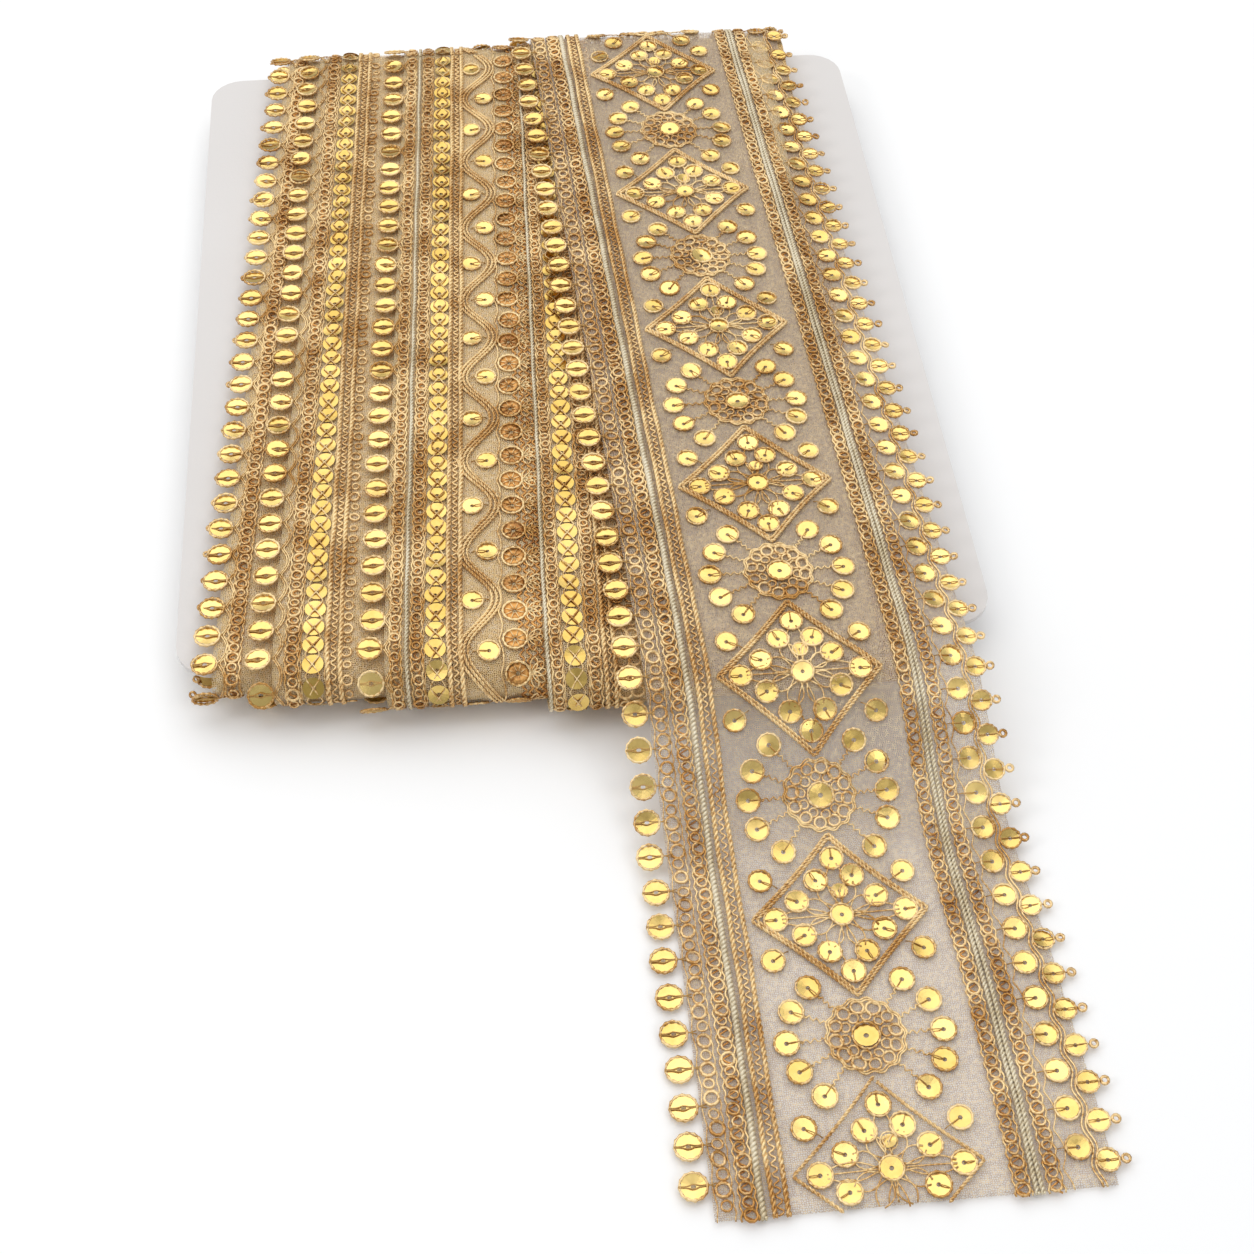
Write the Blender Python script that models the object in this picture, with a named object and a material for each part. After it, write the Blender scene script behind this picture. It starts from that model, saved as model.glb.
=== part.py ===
"""Sequin trim wound on a card, its loose end coming down to the table and lying flat.

The card lies level, half way up the winding. The trim goes round it lengthways, and each turn lies on
the one before, a little further right. X runs across the card, Y along it towards the far fold, and Z
up. The origin is on the table, under the middle of the card. Lengths are in metres.
"""

import math

import bmesh
import bpy

# Card
CARD_WIDTH = 0.170
CARD_LENGTH = 0.200
CARD_THICK = 0.0012
CARD_CORNER = 0.008
CARD_CORNER_STEPS = 6
CARD_MID = 0.008
CARD_END = CARD_LENGTH / 2

# Lace: half a pattern repeat, its edge sequins and stations, and the gap kept between solids
HALF_REPEAT = 0.025
STATIONS = 7
STATION_LENGTH = HALF_REPEAT / STATIONS
SCALLOP_DEPTH = 0.0022
GAP = 0.0003
SLOT = CARD_THICK / 2 + GAP

# Steps of the winding's outline, two for each edge sequin along the top
TOP_STEPS = 2 * round(CARD_LENGTH / STATION_LENGTH / 2)
FOLD_STEPS = 7
UNDER_STEPS = 10
CURVE_STEPS = 12

# The turns, lowest first. left: the left edge over the card's far and near ends. over: the net's height
# above the card's middle at those ends. under: its depth below. reach: how far it bulges past each end.
TURNS = [
    {"left": (-0.0705, -0.0825), "over": (0.0034, 0.0030), "under": 0.0038, "reach": (0.0070, 0.0046)},
    {"left": (-0.0614, -0.0694), "over": (0.0042, 0.0046), "under": 0.0058, "reach": (0.0070, 0.0074)},
    {"left": (-0.0387, -0.0476), "over": (0.0050, 0.0060), "under": 0.0080, "reach": (0.0070, 0.0098)},
    {"left": (-0.0028, -0.0098), "over": (0.0056, 0.0070), "under": 0.0080, "reach": (0.0070, 0.0132)},
]

# Raised columns of each turn that show: start and end from the turn's left edge, and height on the net
SEQUIN_EDGE = (0.0008, 0.0050, 0.0009)
RIBS = [
    [SEQUIN_EDGE, (0.0066, 0.0084, 0.0007)],
    [SEQUIN_EDGE, (0.0076, 0.0108, 0.0007), (0.0114, 0.0158, 0.0005), (0.0162, 0.0198, 0.0008)],
    [SEQUIN_EDGE, (0.0062, 0.0134, 0.0006), (0.0138, 0.0182, 0.0004), (0.0186, 0.0214, 0.0008),
     (0.0298, 0.0346, 0.0009)],
    [(0.0004, 0.0038, 0.0006), (0.0042, 0.0082, 0.0004), (0.0086, 0.0116, 0.0006)],
]
RIB_SLOPE = 0.0004
NET_RISE = 0.0002
STEP_WIDTH = 0.0002

# Right of its ribs the last turn lies under the loose end, and its right edge sags
BURIED = [(0.018, 0.0), (0.042, -0.0006), (0.060, -0.0022)]
WOUND_RIGHT = (0.0690, 0.0560)
WOUND_RIGHT_SAG = -0.0027
LEDGE = 0.0016

# Loose end: its bottom face runs along these places (Y, Z) from the near end of the card to the table
LOOSE_THICK = 0.0012
LOOSE_OVER = (0.0066, 0.0080)
LOOSE_REACH = 0.0081
LOOSE_DROP = [
    (-0.094, 0.0160), (-0.106, 0.0159), (-0.115, 0.0148), (-0.126, 0.0101), (-0.1375, 0.0047),
    (-0.149, 0.0015), (-0.160, 0.0003), (-0.168, 0.0),
]
LOOSE_END_Y = -0.240
FIRST_DIAMOND_Y = 0.0852
CUT_AFTER = 12.36

# Its left edge, and the widths left and right of the pattern's middle, at these places along Y
LOOSE_PLACES = (0.100, -0.110, -0.145, -0.172, -0.200)
LOOSE_LEFT = (-0.0048, 0.0034, 0.0046, 0.0050, 0.0050)
LOOSE_HALF_LEFT = (0.0375, 0.0375, 0.0376, 0.0377, 0.0377)
LOOSE_HALF_RIGHT = (0.0390, 0.0392, 0.0392, 0.0413, 0.0423)
PATTERN_LEFT = 0.0377
PATTERN_RIGHT = 0.0423

# The right side of the loose end has nothing under it and sags towards the card
SAG = 0.0030
SAG_FROM = 0.012
SAG_FADE = (-0.090, -0.140)

# Cross-section of the loose end, from the middle of the pattern: places and heights on the net
LOOSE_LEFT_RIBS = [
    (-0.0377, -0.0003), (-0.0368, 0.0005), (-0.0322, 0.0005), (-0.0313, 0.0), (-0.0305, 0.0004),
    (-0.0237, 0.0004), (-0.0229, 0.0), (-0.0219, 0.0006), (-0.0182, 0.0006),
]
LOOSE_RIGHT_RIBS = [
    (0.0188, 0.0005), (0.0224, 0.0005), (0.0230, 0.0001), (0.0262, 0.0004), (0.0298, 0.0003),
    (0.0306, 0.0005), (0.0352, 0.0005), (0.0358, 0.0003), (0.0398, 0.0005), (0.0423, -0.0003),
]
FIELD_HALF = 0.0173
FIELD_STEPS = 5
DIAMOND_RISE = 0.0006
MEDALLION_RISE = 0.0004
MEDALLION_RADIUS = 0.0073


def between(low, high, share):
    """The value at this share of the way from low to high."""
    return low + (high - low) * share


def along_card(pair, y):
    """The value at y of what is given at the card's far and near ends."""
    return between(pair[1], pair[0], (y + CARD_END) / CARD_LENGTH)


def table(places, values, y):
    """The value at y in a short table whose places run from far to near."""
    if y >= places[0]:
        return values[0]
    for k in range(1, len(places)):
        if y >= places[k]:
            return between(values[k], values[k - 1], (y - places[k]) / (places[k - 1] - places[k]))
    return values[-1]


def smooth(share):
    """A soft step from 0 to 1."""
    share = min(1.0, max(0.0, share))
    return share * share * (3 - 2 * share)


def material(name, colour, metallic, roughness):
    made = bpy.data.materials.new(name)
    made.use_nodes = True
    shader = made.node_tree.nodes["Principled BSDF"]
    shader.inputs["Base Color"].default_value = (*colour, 1.0)
    shader.inputs["Metallic"].default_value = metallic
    shader.inputs["Roughness"].default_value = roughness
    return made


def solid(name, points, faces, finish):
    """One object of these points and faces, its faces turned outwards."""
    mesh = bpy.data.meshes.new(name)
    mesh.from_pydata(points, [], faces)
    shape = bmesh.new()
    shape.from_mesh(mesh)
    bmesh.ops.recalc_face_normals(shape, faces=shape.faces)
    shape.to_mesh(mesh)
    shape.free()
    made = bpy.data.objects.new(name, mesh)
    made.data.materials.append(finish)
    bpy.context.scene.collection.objects.link(made)
    return made


def build_card():
    """A board with round corners."""
    outline = []
    for corner, (side_x, side_y) in enumerate([(1, 1), (-1, 1), (-1, -1), (1, -1)]):
        for step in range(CARD_CORNER_STEPS + 1):
            turn = math.radians(90 * (corner + step / CARD_CORNER_STEPS))
            x = side_x * (CARD_WIDTH / 2 - CARD_CORNER) + CARD_CORNER * math.cos(turn)
            y = side_y * (CARD_END - CARD_CORNER) + CARD_CORNER * math.sin(turn)
            outline.append((x, y))
    count = len(outline)
    points = [(x, y, CARD_MID + side * CARD_THICK / 2) for side in (-1, 1) for x, y in outline]
    faces = [tuple(range(count)), tuple(range(count, 2 * count))]
    for k in range(count):
        after = (k + 1) % count
        faces.append((k, after, count + after, count + k))
    solid("card", points, faces, material("card_board", (0.82, 0.79, 0.77), 0.0, 0.7))


def wound_columns():
    """The winding's cross-section, left to right: the turn whose left edge places it, the distance
    from that edge, the turn that it lies on, its height on that turn's net, and its scallop share."""
    columns = []
    for turn, ribs in enumerate(RIBS):
        if turn:
            columns.append((turn, -STEP_WIDTH, turn - 1, NET_RISE, 1.0))
        columns.append((turn, 0.0, turn, NET_RISE, 1.0))
        for start, end, height in ribs:
            scallop = 1.0 if start == SEQUIN_EDGE[0] else 0.0
            if not scallop and start > ribs[0][1] + 2 * RIB_SLOPE:
                columns.append((turn, start - RIB_SLOPE, turn, NET_RISE, 0.0))
            columns.append((turn, start, turn, height, scallop))
            columns.append((turn, end, turn, height, 0.0))
        columns.append((turn, ribs[-1][1] + RIB_SLOPE, turn, NET_RISE, 0.0))
    for offset, rise in BURIED:
        columns.append((len(TURNS) - 1, offset, len(TURNS) - 1, rise, 0.0))
    return columns


def wound_stations():
    """Places round the winding, from the far end of its top: the pass, and how far along it."""
    stations = [("top", k / TOP_STEPS) for k in range(TOP_STEPS)]
    stations += [("near", k / FOLD_STEPS) for k in range(FOLD_STEPS)]
    stations += [("under", k / UNDER_STEPS) for k in range(UNDER_STEPS)]
    stations += [("far", k / FOLD_STEPS) for k in range(FOLD_STEPS)]
    return stations


def wound_place(station, lies_on, rise, ledge):
    """Y and Z of the winding's surface. The folds are half ellipses past the card's ends."""
    kind, share = station
    turn = TURNS[lies_on]
    if kind == "top":
        y = between(CARD_END, -CARD_END, share)
        return y, CARD_MID + along_card(turn["over"], y) + rise
    if kind == "under":
        return between(-CARD_END, CARD_END, share), CARD_MID - turn["under"]
    side = -1 if kind == "near" else 1
    angle = math.pi * (0.5 - share) if kind == "near" else math.pi * (share - 0.5)
    reach = turn["reach"][1 if kind == "near" else 0] + rise
    over = along_card(turn["over"], side * CARD_END) + rise
    if kind == "far" and angle < 0:
        reach += ledge
    depth = over if angle > 0 else turn["under"]
    return side * (CARD_END + reach * math.cos(angle)), CARD_MID + depth * math.sin(angle)


def slot_place(station):
    """Y and Z of the winding's inner face, which fits round the card."""
    kind, share = station
    end = CARD_END + GAP
    if kind == "top":
        return between(end, -end, share), CARD_MID + SLOT
    if kind == "under":
        return between(-end, end, share), CARD_MID - SLOT
    rise = between(SLOT, -SLOT, share) if kind == "near" else between(-SLOT, SLOT, share)
    return (-end if kind == "near" else end), CARD_MID + rise


def build_wound_turns():
    """One closed solid: the outer surface of the turns, and the slot that the card lies in."""
    columns = wound_columns()
    stations = wound_stations()
    points = []
    for number, station in enumerate(stations):
        scallop = SCALLOP_DEPTH * (number % 2) if station[0] == "top" else SCALLOP_DEPTH / 2
        for turn, offset, lies_on, rise, share in columns:
            ledge = LEDGE if lies_on == len(TURNS) - 1 else 0.0
            y, z = wound_place(station, lies_on, rise, ledge)
            along = min(CARD_END, max(-CARD_END, y))
            x = along_card(TURNS[turn]["left"], along) + offset + scallop * share
            points.append((x, y, z))
        y, z = wound_place(station, len(TURNS) - 1, WOUND_RIGHT_SAG, LEDGE)
        points.append((along_card(WOUND_RIGHT, min(CARD_END, max(-CARD_END, y))), y, z))
        y, z = slot_place(station)
        along = min(CARD_END, max(-CARD_END, y))
        points.append((along_card(WOUND_RIGHT, along), y, z))
        points.append((along_card(TURNS[0]["left"], along) + scallop, y, z))
    ring = len(columns) + 3
    faces = []
    for k in range(len(stations)):
        here = k * ring
        after = (k + 1) % len(stations) * ring
        for j in range(ring):
            beside = (j + 1) % ring
            faces.append((here + j, here + beside, after + beside, after + j))
    solid("wound_turns", points, faces, material("gold_lace_wound", (0.62, 0.42, 0.15), 0.7, 0.4))


def loose_path():
    """Y and Z of the loose end's bottom face, from the far fold's middle to past the cut end."""
    path = []
    for step in range(FOLD_STEPS + 1):
        angle = math.pi / 2 * step / FOLD_STEPS
        y = CARD_END + LOOSE_REACH * math.cos(angle)
        path.append((y, CARD_MID + LOOSE_OVER[0] * math.sin(angle)))
    knots = [(CARD_END, CARD_MID + LOOSE_OVER[0])] + LOOSE_DROP + [(LOOSE_END_Y, 0.0)]
    for k in range(len(knots) - 1):
        before = knots[max(k - 1, 0)] if k > 1 else knots[k]
        last = knots[min(k + 2, len(knots) - 1)]
        for step in range(1, CURVE_STEPS + 1):
            path.append(soft_curve(before, knots[k], knots[k + 1], last, step / CURVE_STEPS))
    return path


def soft_curve(before, start, end, after, share):
    """A place between start and end on the smooth curve through all four, never below the table."""
    span = end[0] - start[0]
    tilt_in = (end[1] - before[1]) / (end[0] - before[0])
    tilt_out = (after[1] - start[1]) / (after[0] - start[0])
    square = share * share
    cube = square * share
    z = (2 * cube - 3 * square + 1) * start[1] + (3 * square - 2 * cube) * end[1]
    z += span * ((cube - 2 * square + share) * tilt_in + (cube - square) * tilt_out)
    return start[0] + span * share, max(0.0, z)


def path_lengths(path):
    lengths = [0.0]
    for (y0, z0), (y1, z1) in zip(path, path[1:]):
        lengths.append(lengths[-1] + math.hypot(y1 - y0, z1 - z0))
    return lengths


def on_path(path, lengths, length):
    """Y, Z and the upward normal of the path at this length along it."""
    k = 1
    while k < len(lengths) - 1 and lengths[k] < length:
        k += 1
    share = (length - lengths[k - 1]) / (lengths[k] - lengths[k - 1])
    (y0, z0), (y1, z1) = path[k - 1], path[k]
    run = math.hypot(y1 - y0, z1 - z0)
    return between(y0, y1, share), between(z0, z1, share), ((z1 - z0) / run, (y0 - y1) / run)


def loose_columns():
    """The cross-section of the loose end, left to right: the place from the pattern's middle, and the
    height on the net. The field between the cords takes its height from the pattern instead."""
    field = [(FIELD_HALF * k / FIELD_STEPS, None) for k in range(-FIELD_STEPS, FIELD_STEPS + 1)]
    return LOOSE_LEFT_RIBS + field + LOOSE_RIGHT_RIBS


def field_rise(column, repeat):
    """The height of the pattern's field: a raised diamond outline, or a low medallion between two."""
    from_diamond = abs(repeat - 2 * round(repeat / 2))
    if round(from_diamond * STATIONS) + abs(column) == FIELD_STEPS:
        return DIAMOND_RISE
    from_medallion = (1 - from_diamond) * HALF_REPEAT
    distance = math.hypot(from_medallion, column * FIELD_HALF / FIELD_STEPS)
    return MEDALLION_RISE if distance <= MEDALLION_RADIUS else 0.0


def loose_x(place, y):
    """X of a place across the lace. It spreads a little where it lies loose."""
    left = table(LOOSE_PLACES, LOOSE_LEFT, y)
    half_left = table(LOOSE_PLACES, LOOSE_HALF_LEFT, y)
    half_right = table(LOOSE_PLACES, LOOSE_HALF_RIGHT, y)
    stretch = half_left / PATTERN_LEFT if place < 0 else half_right / PATTERN_RIGHT
    return left + half_left + place * stretch


def sag_at(place, y, length):
    """How far the unsupported right side hangs, from the far fold to the start of the slope."""
    fade = 1 - smooth((SAG_FADE[0] - y) / (SAG_FADE[0] - SAG_FADE[1]))
    start = smooth(length / (2 * LOOSE_REACH))
    return SAG * fade * start * smooth((place - SAG_FROM) / (PATTERN_RIGHT - SAG_FROM))


def build_loose_end():
    """A sheet with raised columns, diamonds and scalloped edges."""
    path = loose_path()
    lengths = path_lengths(path)
    first = next(k for k in range(len(path) - 1) if path[k + 1][0] < FIRST_DIAMOND_Y)
    share = (path[first][0] - FIRST_DIAMOND_Y) / (path[first][0] - path[first + 1][0])
    diamond_at = between(lengths[first], lengths[first + 1], share)
    columns = loose_columns()
    start = -diamond_at / STATION_LENGTH
    marks = [start] + list(range(math.ceil(start), int(CUT_AFTER * STATIONS) + 1))
    under = [PATTERN_RIGHT, FIELD_HALF, -FIELD_HALF, -PATTERN_LEFT]
    points = []
    heights = []
    for number, mark in enumerate(marks):
        length = diamond_at + mark * STATION_LENGTH
        y, z, (normal_y, normal_z) = on_path(path, lengths, length)
        scallop = SCALLOP_DEPTH * (number % 2)
        for index, (place, rise) in enumerate(columns):
            if rise is None:
                rise = field_rise(index - len(LOOSE_LEFT_RIBS) - FIELD_STEPS, mark / STATIONS)
            x = loose_x(place, y)
            if index < 2:
                x += scallop
            if index >= len(columns) - 2:
                x -= scallop * (index - len(columns) + 2)
            height = LOOSE_THICK + rise
            sag = sag_at(place, y, length)
            points.append((x, y + height * normal_y, z + height * normal_z - sag))
            heights.append(rise)
        for place in under:
            x = loose_x(place, y)
            if abs(place) > FIELD_HALF:
                x += -scallop if place > 0 else scallop
            points.append((x, y, z - sag_at(place, y, length)))
            heights.append(0.0)
    ring = len(columns) + len(under)
    faces = [tuple(range(ring)), tuple(range(len(points) - ring, len(points)))]
    for k in range(len(marks) - 1):
        for j in range(ring):
            beside = (j + 1) % ring
            corners = (k * ring + j, k * ring + beside, (k + 1) * ring + beside, (k + 1) * ring + j)
            faces += ridge_split(corners, heights)
    solid("loose_end", points, faces, material("gold_lace_loose", (0.66, 0.47, 0.18), 0.7, 0.4))


def ridge_split(corners, heights):
    """The four-sided face as two triangles that share its higher diagonal, so ridges stay whole."""
    a, b, c, d = corners
    if heights[a] + heights[c] >= heights[b] + heights[d]:
        return [(a, b, c), (a, c, d)]
    return [(a, b, d), (b, c, d)]


def clear_scene():
    for thing in list(bpy.data.objects):
        bpy.data.objects.remove(thing, do_unlink=True)


clear_scene()
build_card()
build_wound_turns()
build_loose_end()
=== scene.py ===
# %% [markdown]
# Sequin trim wound on a card. The trim is a net ribbon, about 80 mm wide, with gold sequins, cords,
# chains and loops sewn on it. It goes round a stiff card in overlapping flat turns, and its free end
# comes off the top, down to the table, and lies flat. The frame gives the card and two plain solids.
# This script keeps the card and makes the lace again, thread by thread.

# %% Frame
import math

import bpy
import numpy as np
from mathutils import Matrix, Vector


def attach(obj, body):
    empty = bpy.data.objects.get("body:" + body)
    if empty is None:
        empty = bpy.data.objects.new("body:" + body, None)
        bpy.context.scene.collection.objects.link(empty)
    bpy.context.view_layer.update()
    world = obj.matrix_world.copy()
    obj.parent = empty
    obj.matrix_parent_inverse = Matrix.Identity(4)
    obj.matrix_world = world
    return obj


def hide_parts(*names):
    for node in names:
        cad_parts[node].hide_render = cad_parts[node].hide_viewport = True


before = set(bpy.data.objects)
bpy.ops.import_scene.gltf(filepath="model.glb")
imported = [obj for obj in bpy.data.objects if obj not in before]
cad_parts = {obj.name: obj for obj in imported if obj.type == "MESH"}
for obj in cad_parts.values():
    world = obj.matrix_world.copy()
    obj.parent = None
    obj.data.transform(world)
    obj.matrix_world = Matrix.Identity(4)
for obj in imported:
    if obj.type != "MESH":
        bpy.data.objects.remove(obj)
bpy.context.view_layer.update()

# %% [markdown]
# The camera comes first, because everything else is compared through it. It looks down steeply at the
# card from its near end, a little turned and tilted, as someone would photograph it on a table. The
# place and angles were found from the card's four corners and the even repeat of the pattern.

# %% Camera
IMAGE_SIDE = 1254
FOCAL_PIXELS = 1830.9
SENSOR_WIDTH = 36.0
CAMERA_PLACE = (-0.01985, -0.32809, 0.30912)
CAMERA_DOWN = math.radians(52.02)
CAMERA_TURN = math.radians(6.79)
CAMERA_ROLL = math.radians(1.44)


def camera_axes(down, turn, roll):
    """The camera's right, up and backward directions."""
    forward = Vector((
        math.sin(turn) * math.cos(down),
        math.cos(turn) * math.cos(down),
        -math.sin(down),
    ))
    level = Vector((math.cos(turn), -math.sin(turn), 0))
    above = level.cross(forward)
    right = math.cos(roll) * level + math.sin(roll) * above
    up = -math.sin(roll) * level + math.cos(roll) * above
    return right, up, -forward


def shown(name, data):
    """A new object in the scene."""
    made = bpy.data.objects.new(name, data)
    bpy.context.scene.collection.objects.link(made)
    return made


camera_data = bpy.data.cameras.new("camera")
camera_data.sensor_width = SENSOR_WIDTH
camera_data.lens = FOCAL_PIXELS / IMAGE_SIDE * SENSOR_WIDTH
camera = shown("camera", camera_data)
camera_turned = Matrix(camera_axes(CAMERA_DOWN, CAMERA_TURN, CAMERA_ROLL)).transposed()
camera.matrix_world = Matrix.Translation(CAMERA_PLACE) @ camera_turned.to_4x4()
bpy.context.scene.camera = camera
print("lens", round(camera_data.lens, 2), "mm")

# %% [markdown]
# The trim lies on a plain white surface in soft light from above and a little behind, so its shadows
# fall towards the camera. A big lamp gives the sequins something broad to reflect. A smaller one gives
# the sharp glints, and a grey world leaves dark parts in the reflections, so metal looks like metal.

# %% Floor and light
FLOOR_SIZE = 5.0
FLOOR_DROP = 0.0002
FLOOR_COLOUR = (0.96, 0.96, 0.96, 1)
WORLD_COLOUR = (0.78, 0.79, 0.80, 1)
AIM = (0.0, -0.05, 0.0)


def new_finish(name):
    """A new material, with its node tree and its shader."""
    made = bpy.data.materials.new(name)
    made.use_nodes = True
    return made, made.node_tree, made.node_tree.nodes["Principled BSDF"]


def area_lamp(name, place, size, power):
    """A square lamp at this place that shines at the lace."""
    data = bpy.data.lights.new(name, "AREA")
    data.shape = "SQUARE"
    data.size = size
    data.energy = power
    lamp = shown(name, data)
    lamp.location = place
    lamp.rotation_euler = (Vector(AIM) - Vector(place)).to_track_quat("-Z", "Y").to_euler()


half = FLOOR_SIZE / 2
floor_mesh = bpy.data.meshes.new("floor")
floor_corners = [(-half, -half, 0), (half, -half, 0), (half, half, 0), (-half, half, 0)]
floor_mesh.from_pydata(floor_corners, [], [(0, 1, 2, 3)])
floor = shown("floor", floor_mesh)
floor.location.z = -FLOOR_DROP
floor_finish, tree, floor_shader = new_finish("floor_paper")
floor_shader.inputs["Base Color"].default_value = FLOOR_COLOUR
floor_shader.inputs["Roughness"].default_value = 0.9
floor_mesh.materials.append(floor_finish)

area_lamp("lamp_above", (-0.10, 0.60, 1.30), 2.1, 18.0)
area_lamp("lamp_left", (-0.80, -0.25, 0.70), 0.35, 1.6)
area_lamp("lamp_front", (0.55, -0.75, 0.80), 0.45, 1.3)
world = bpy.data.worlds.new("studio")
world.use_nodes = True
background = world.node_tree.nodes["Background"]
background.inputs["Color"].default_value = WORLD_COLOUR
background.inputs["Strength"].default_value = 0.60
bpy.context.scene.world = world
bpy.context.scene.view_settings.view_transform = "Standard"

# %% [markdown]
# All that is sewn on the net follows the net, round the folds of the card and down to the table. So
# the lace is drawn flat, in millimetres: u across from its left edge, v along it, and h above the
# net's underside. One function for each stretch of lace then carries every point to its real place.
# That is how a pattern can be laid out once and still bend where the ribbon bends.

# %% Sizes shared with the solids
MM = 0.001
CARD_MID = 0.008
CARD_END = 0.100
FOLD_STEPS = 12
LACE_WIDTH = 80.0
PATTERN_LEFT = 37.7
PATTERN_RIGHT = 42.3
UNDER_LIFT = 0.0012

TURNS = [
    {"left": (-0.0705, -0.0825), "over": (0.0034, 0.0030), "under": 0.0038, "reach": (0.0070, 0.0046)},
    {"left": (-0.0614, -0.0702), "over": (0.0042, 0.0046), "under": 0.0058, "reach": (0.0070, 0.0074)},
    {"left": (-0.0387, -0.0476), "over": (0.0050, 0.0060), "under": 0.0074, "reach": (0.0070, 0.0098)},
    {"left": (-0.0028, -0.0098), "over": (0.0056, 0.0070), "under": 0.0074, "reach": (0.0070, 0.0132)},
]
WOUND_RIGHT = (0.0700, 0.0640)

LOOSE_OVER = 0.0066
LOOSE_REACH = 0.0081
LOOSE_UNDER = 0.0063
LOOSE_DROP = [
    (-0.094, 0.0160), (-0.106, 0.0159), (-0.115, 0.0148), (-0.126, 0.0101), (-0.1375, 0.0047),
    (-0.149, 0.0015), (-0.160, 0.0003), (-0.168, 0.0),
]
LOOSE_END_Y = -0.240
FIRST_DIAMOND_Y = 0.0852
CUT_V = 307.1
LOOSE_PLACES = (0.100, -0.110, -0.145, -0.172, -0.200)
LOOSE_LEFT = (-0.0048, 0.0034, 0.0046, 0.0050, 0.0050)
LOOSE_HALF_LEFT = (0.0375, 0.0375, 0.0376, 0.0377, 0.0377)
LOOSE_HALF_RIGHT = (0.0390, 0.0392, 0.0392, 0.0413, 0.0423)
UNDER_LEFT = (-0.0048, -0.0098)
UNDER_RIGHT = (0.0717, 0.0655)
SAG = 0.0030
SAG_FROM = 12.0
SAG_FADE = (-0.090, -0.140)
START_V = -26.0
TOP_V = -20.0
RISE_FROM = 0.0030
RISE_OVER = 0.010


def smooth(share):
    """A soft step from 0 to 1."""
    share = np.clip(share, 0, 1)
    return share * share * (3 - 2 * share)


def along_card(pair, y):
    """The value at y of what is given at the card's far and near ends."""
    share = (np.clip(y, -CARD_END, CARD_END) + CARD_END) / (2 * CARD_END)
    return pair[1] + (pair[0] - pair[1]) * share


def path_of(points):
    """A path through these (Y, Z) points: places, normals, and the length to each in millimetres."""
    places = np.array(points, float)
    steps = np.hypot(*np.diff(places, axis=0).T)
    keep = np.concatenate([[True], steps > 1e-7])
    places = places[keep]
    steps = np.hypot(*np.diff(places, axis=0).T)
    ahead = np.gradient(places, axis=0)
    ahead /= np.linalg.norm(ahead, axis=1)[:, None]
    normals = np.stack([ahead[:, 1], -ahead[:, 0]], axis=1)
    return places, normals, np.concatenate([[0], np.cumsum(steps)]) / MM


def on_path(path, length):
    """Y, Z and the normal's two parts at these lengths along a path."""
    places, normals, lengths = path
    y = np.interp(length, lengths, places[:, 0])
    z = np.interp(length, lengths, places[:, 1])
    normal_y = np.interp(length, lengths, normals[:, 0])
    normal_z = np.interp(length, lengths, normals[:, 1])
    size = np.hypot(normal_y, normal_z)
    return y, z, normal_y / size, normal_z / size


# %% [markdown]
# The loose end starts under the bundle, turns up round the far fold, runs over the top, hangs off the
# near end and lies on the table. Its route uses the same places as the solid it stands for.

# %% The loose end's route
def drop_height(places, y):
    """Height of a smooth curve through these (Y, Z) places, which run from far to near."""
    knots = np.array(places)[::-1]
    slopes = np.gradient(knots[:, 1], knots[:, 0])
    slopes[-1] = 0
    k = np.clip(np.searchsorted(knots[:, 0], y) - 1, 0, len(knots) - 2)
    span = knots[k + 1, 0] - knots[k, 0]
    t = (y - knots[k, 0]) / span
    square, cube = t * t, t * t * t
    z = (2 * cube - 3 * square + 1) * knots[k, 1] + (3 * square - 2 * cube) * knots[k + 1, 1]
    z += span * ((cube - 2 * square + t) * slopes[k] + (cube - square) * slopes[k + 1])
    return np.maximum(z, 0)


under_run = [(y, CARD_MID - LOOSE_UNDER) for y in np.linspace(-CARD_END, CARD_END, 41)]
lower_fold = [
    (CARD_END + LOOSE_REACH * math.cos(t), CARD_MID + LOOSE_UNDER * math.sin(t))
    for t in np.linspace(-math.pi / 2, 0, FOLD_STEPS + 1)
]
upper_fold = [
    (CARD_END + LOOSE_REACH * math.cos(t), CARD_MID + LOOSE_OVER * math.sin(t))
    for t in np.linspace(0, math.pi / 2, FOLD_STEPS + 1)
]
drop_knots = [(CARD_END, CARD_MID + LOOSE_OVER)] + LOOSE_DROP + [(LOOSE_END_Y, 0.0)]
top_y = np.linspace(CARD_END, LOOSE_END_Y, 240)
top_run = list(zip(top_y, drop_height(drop_knots, top_y)))
loose_path = path_of(under_run + lower_fold + upper_fold + top_run)
over_top = int(np.argmax(loose_path[0][:, 0])) + FOLD_STEPS
loose_first = float(np.interp(
    -FIRST_DIAMOND_Y, -loose_path[0][over_top:, 0], loose_path[2][over_top:]
))
UNDER_V = -loose_first
print("loose lace starts", round(UNDER_V, 1), "mm before its first diamond")


def ripple(u, v):
    """Small waves of lace that lies loose, in millimetres."""
    waves = np.sin(0.13 * v + 0.05 * u) * np.sin(0.021 * u * 2 + 0.047 * v + 1.0)
    waves = waves + 0.6 * np.sin(0.29 * v - 0.11 * u + 2.0) * np.sin(0.08 * u + 0.5)
    return 0.16 * (1.2 + waves)


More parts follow.
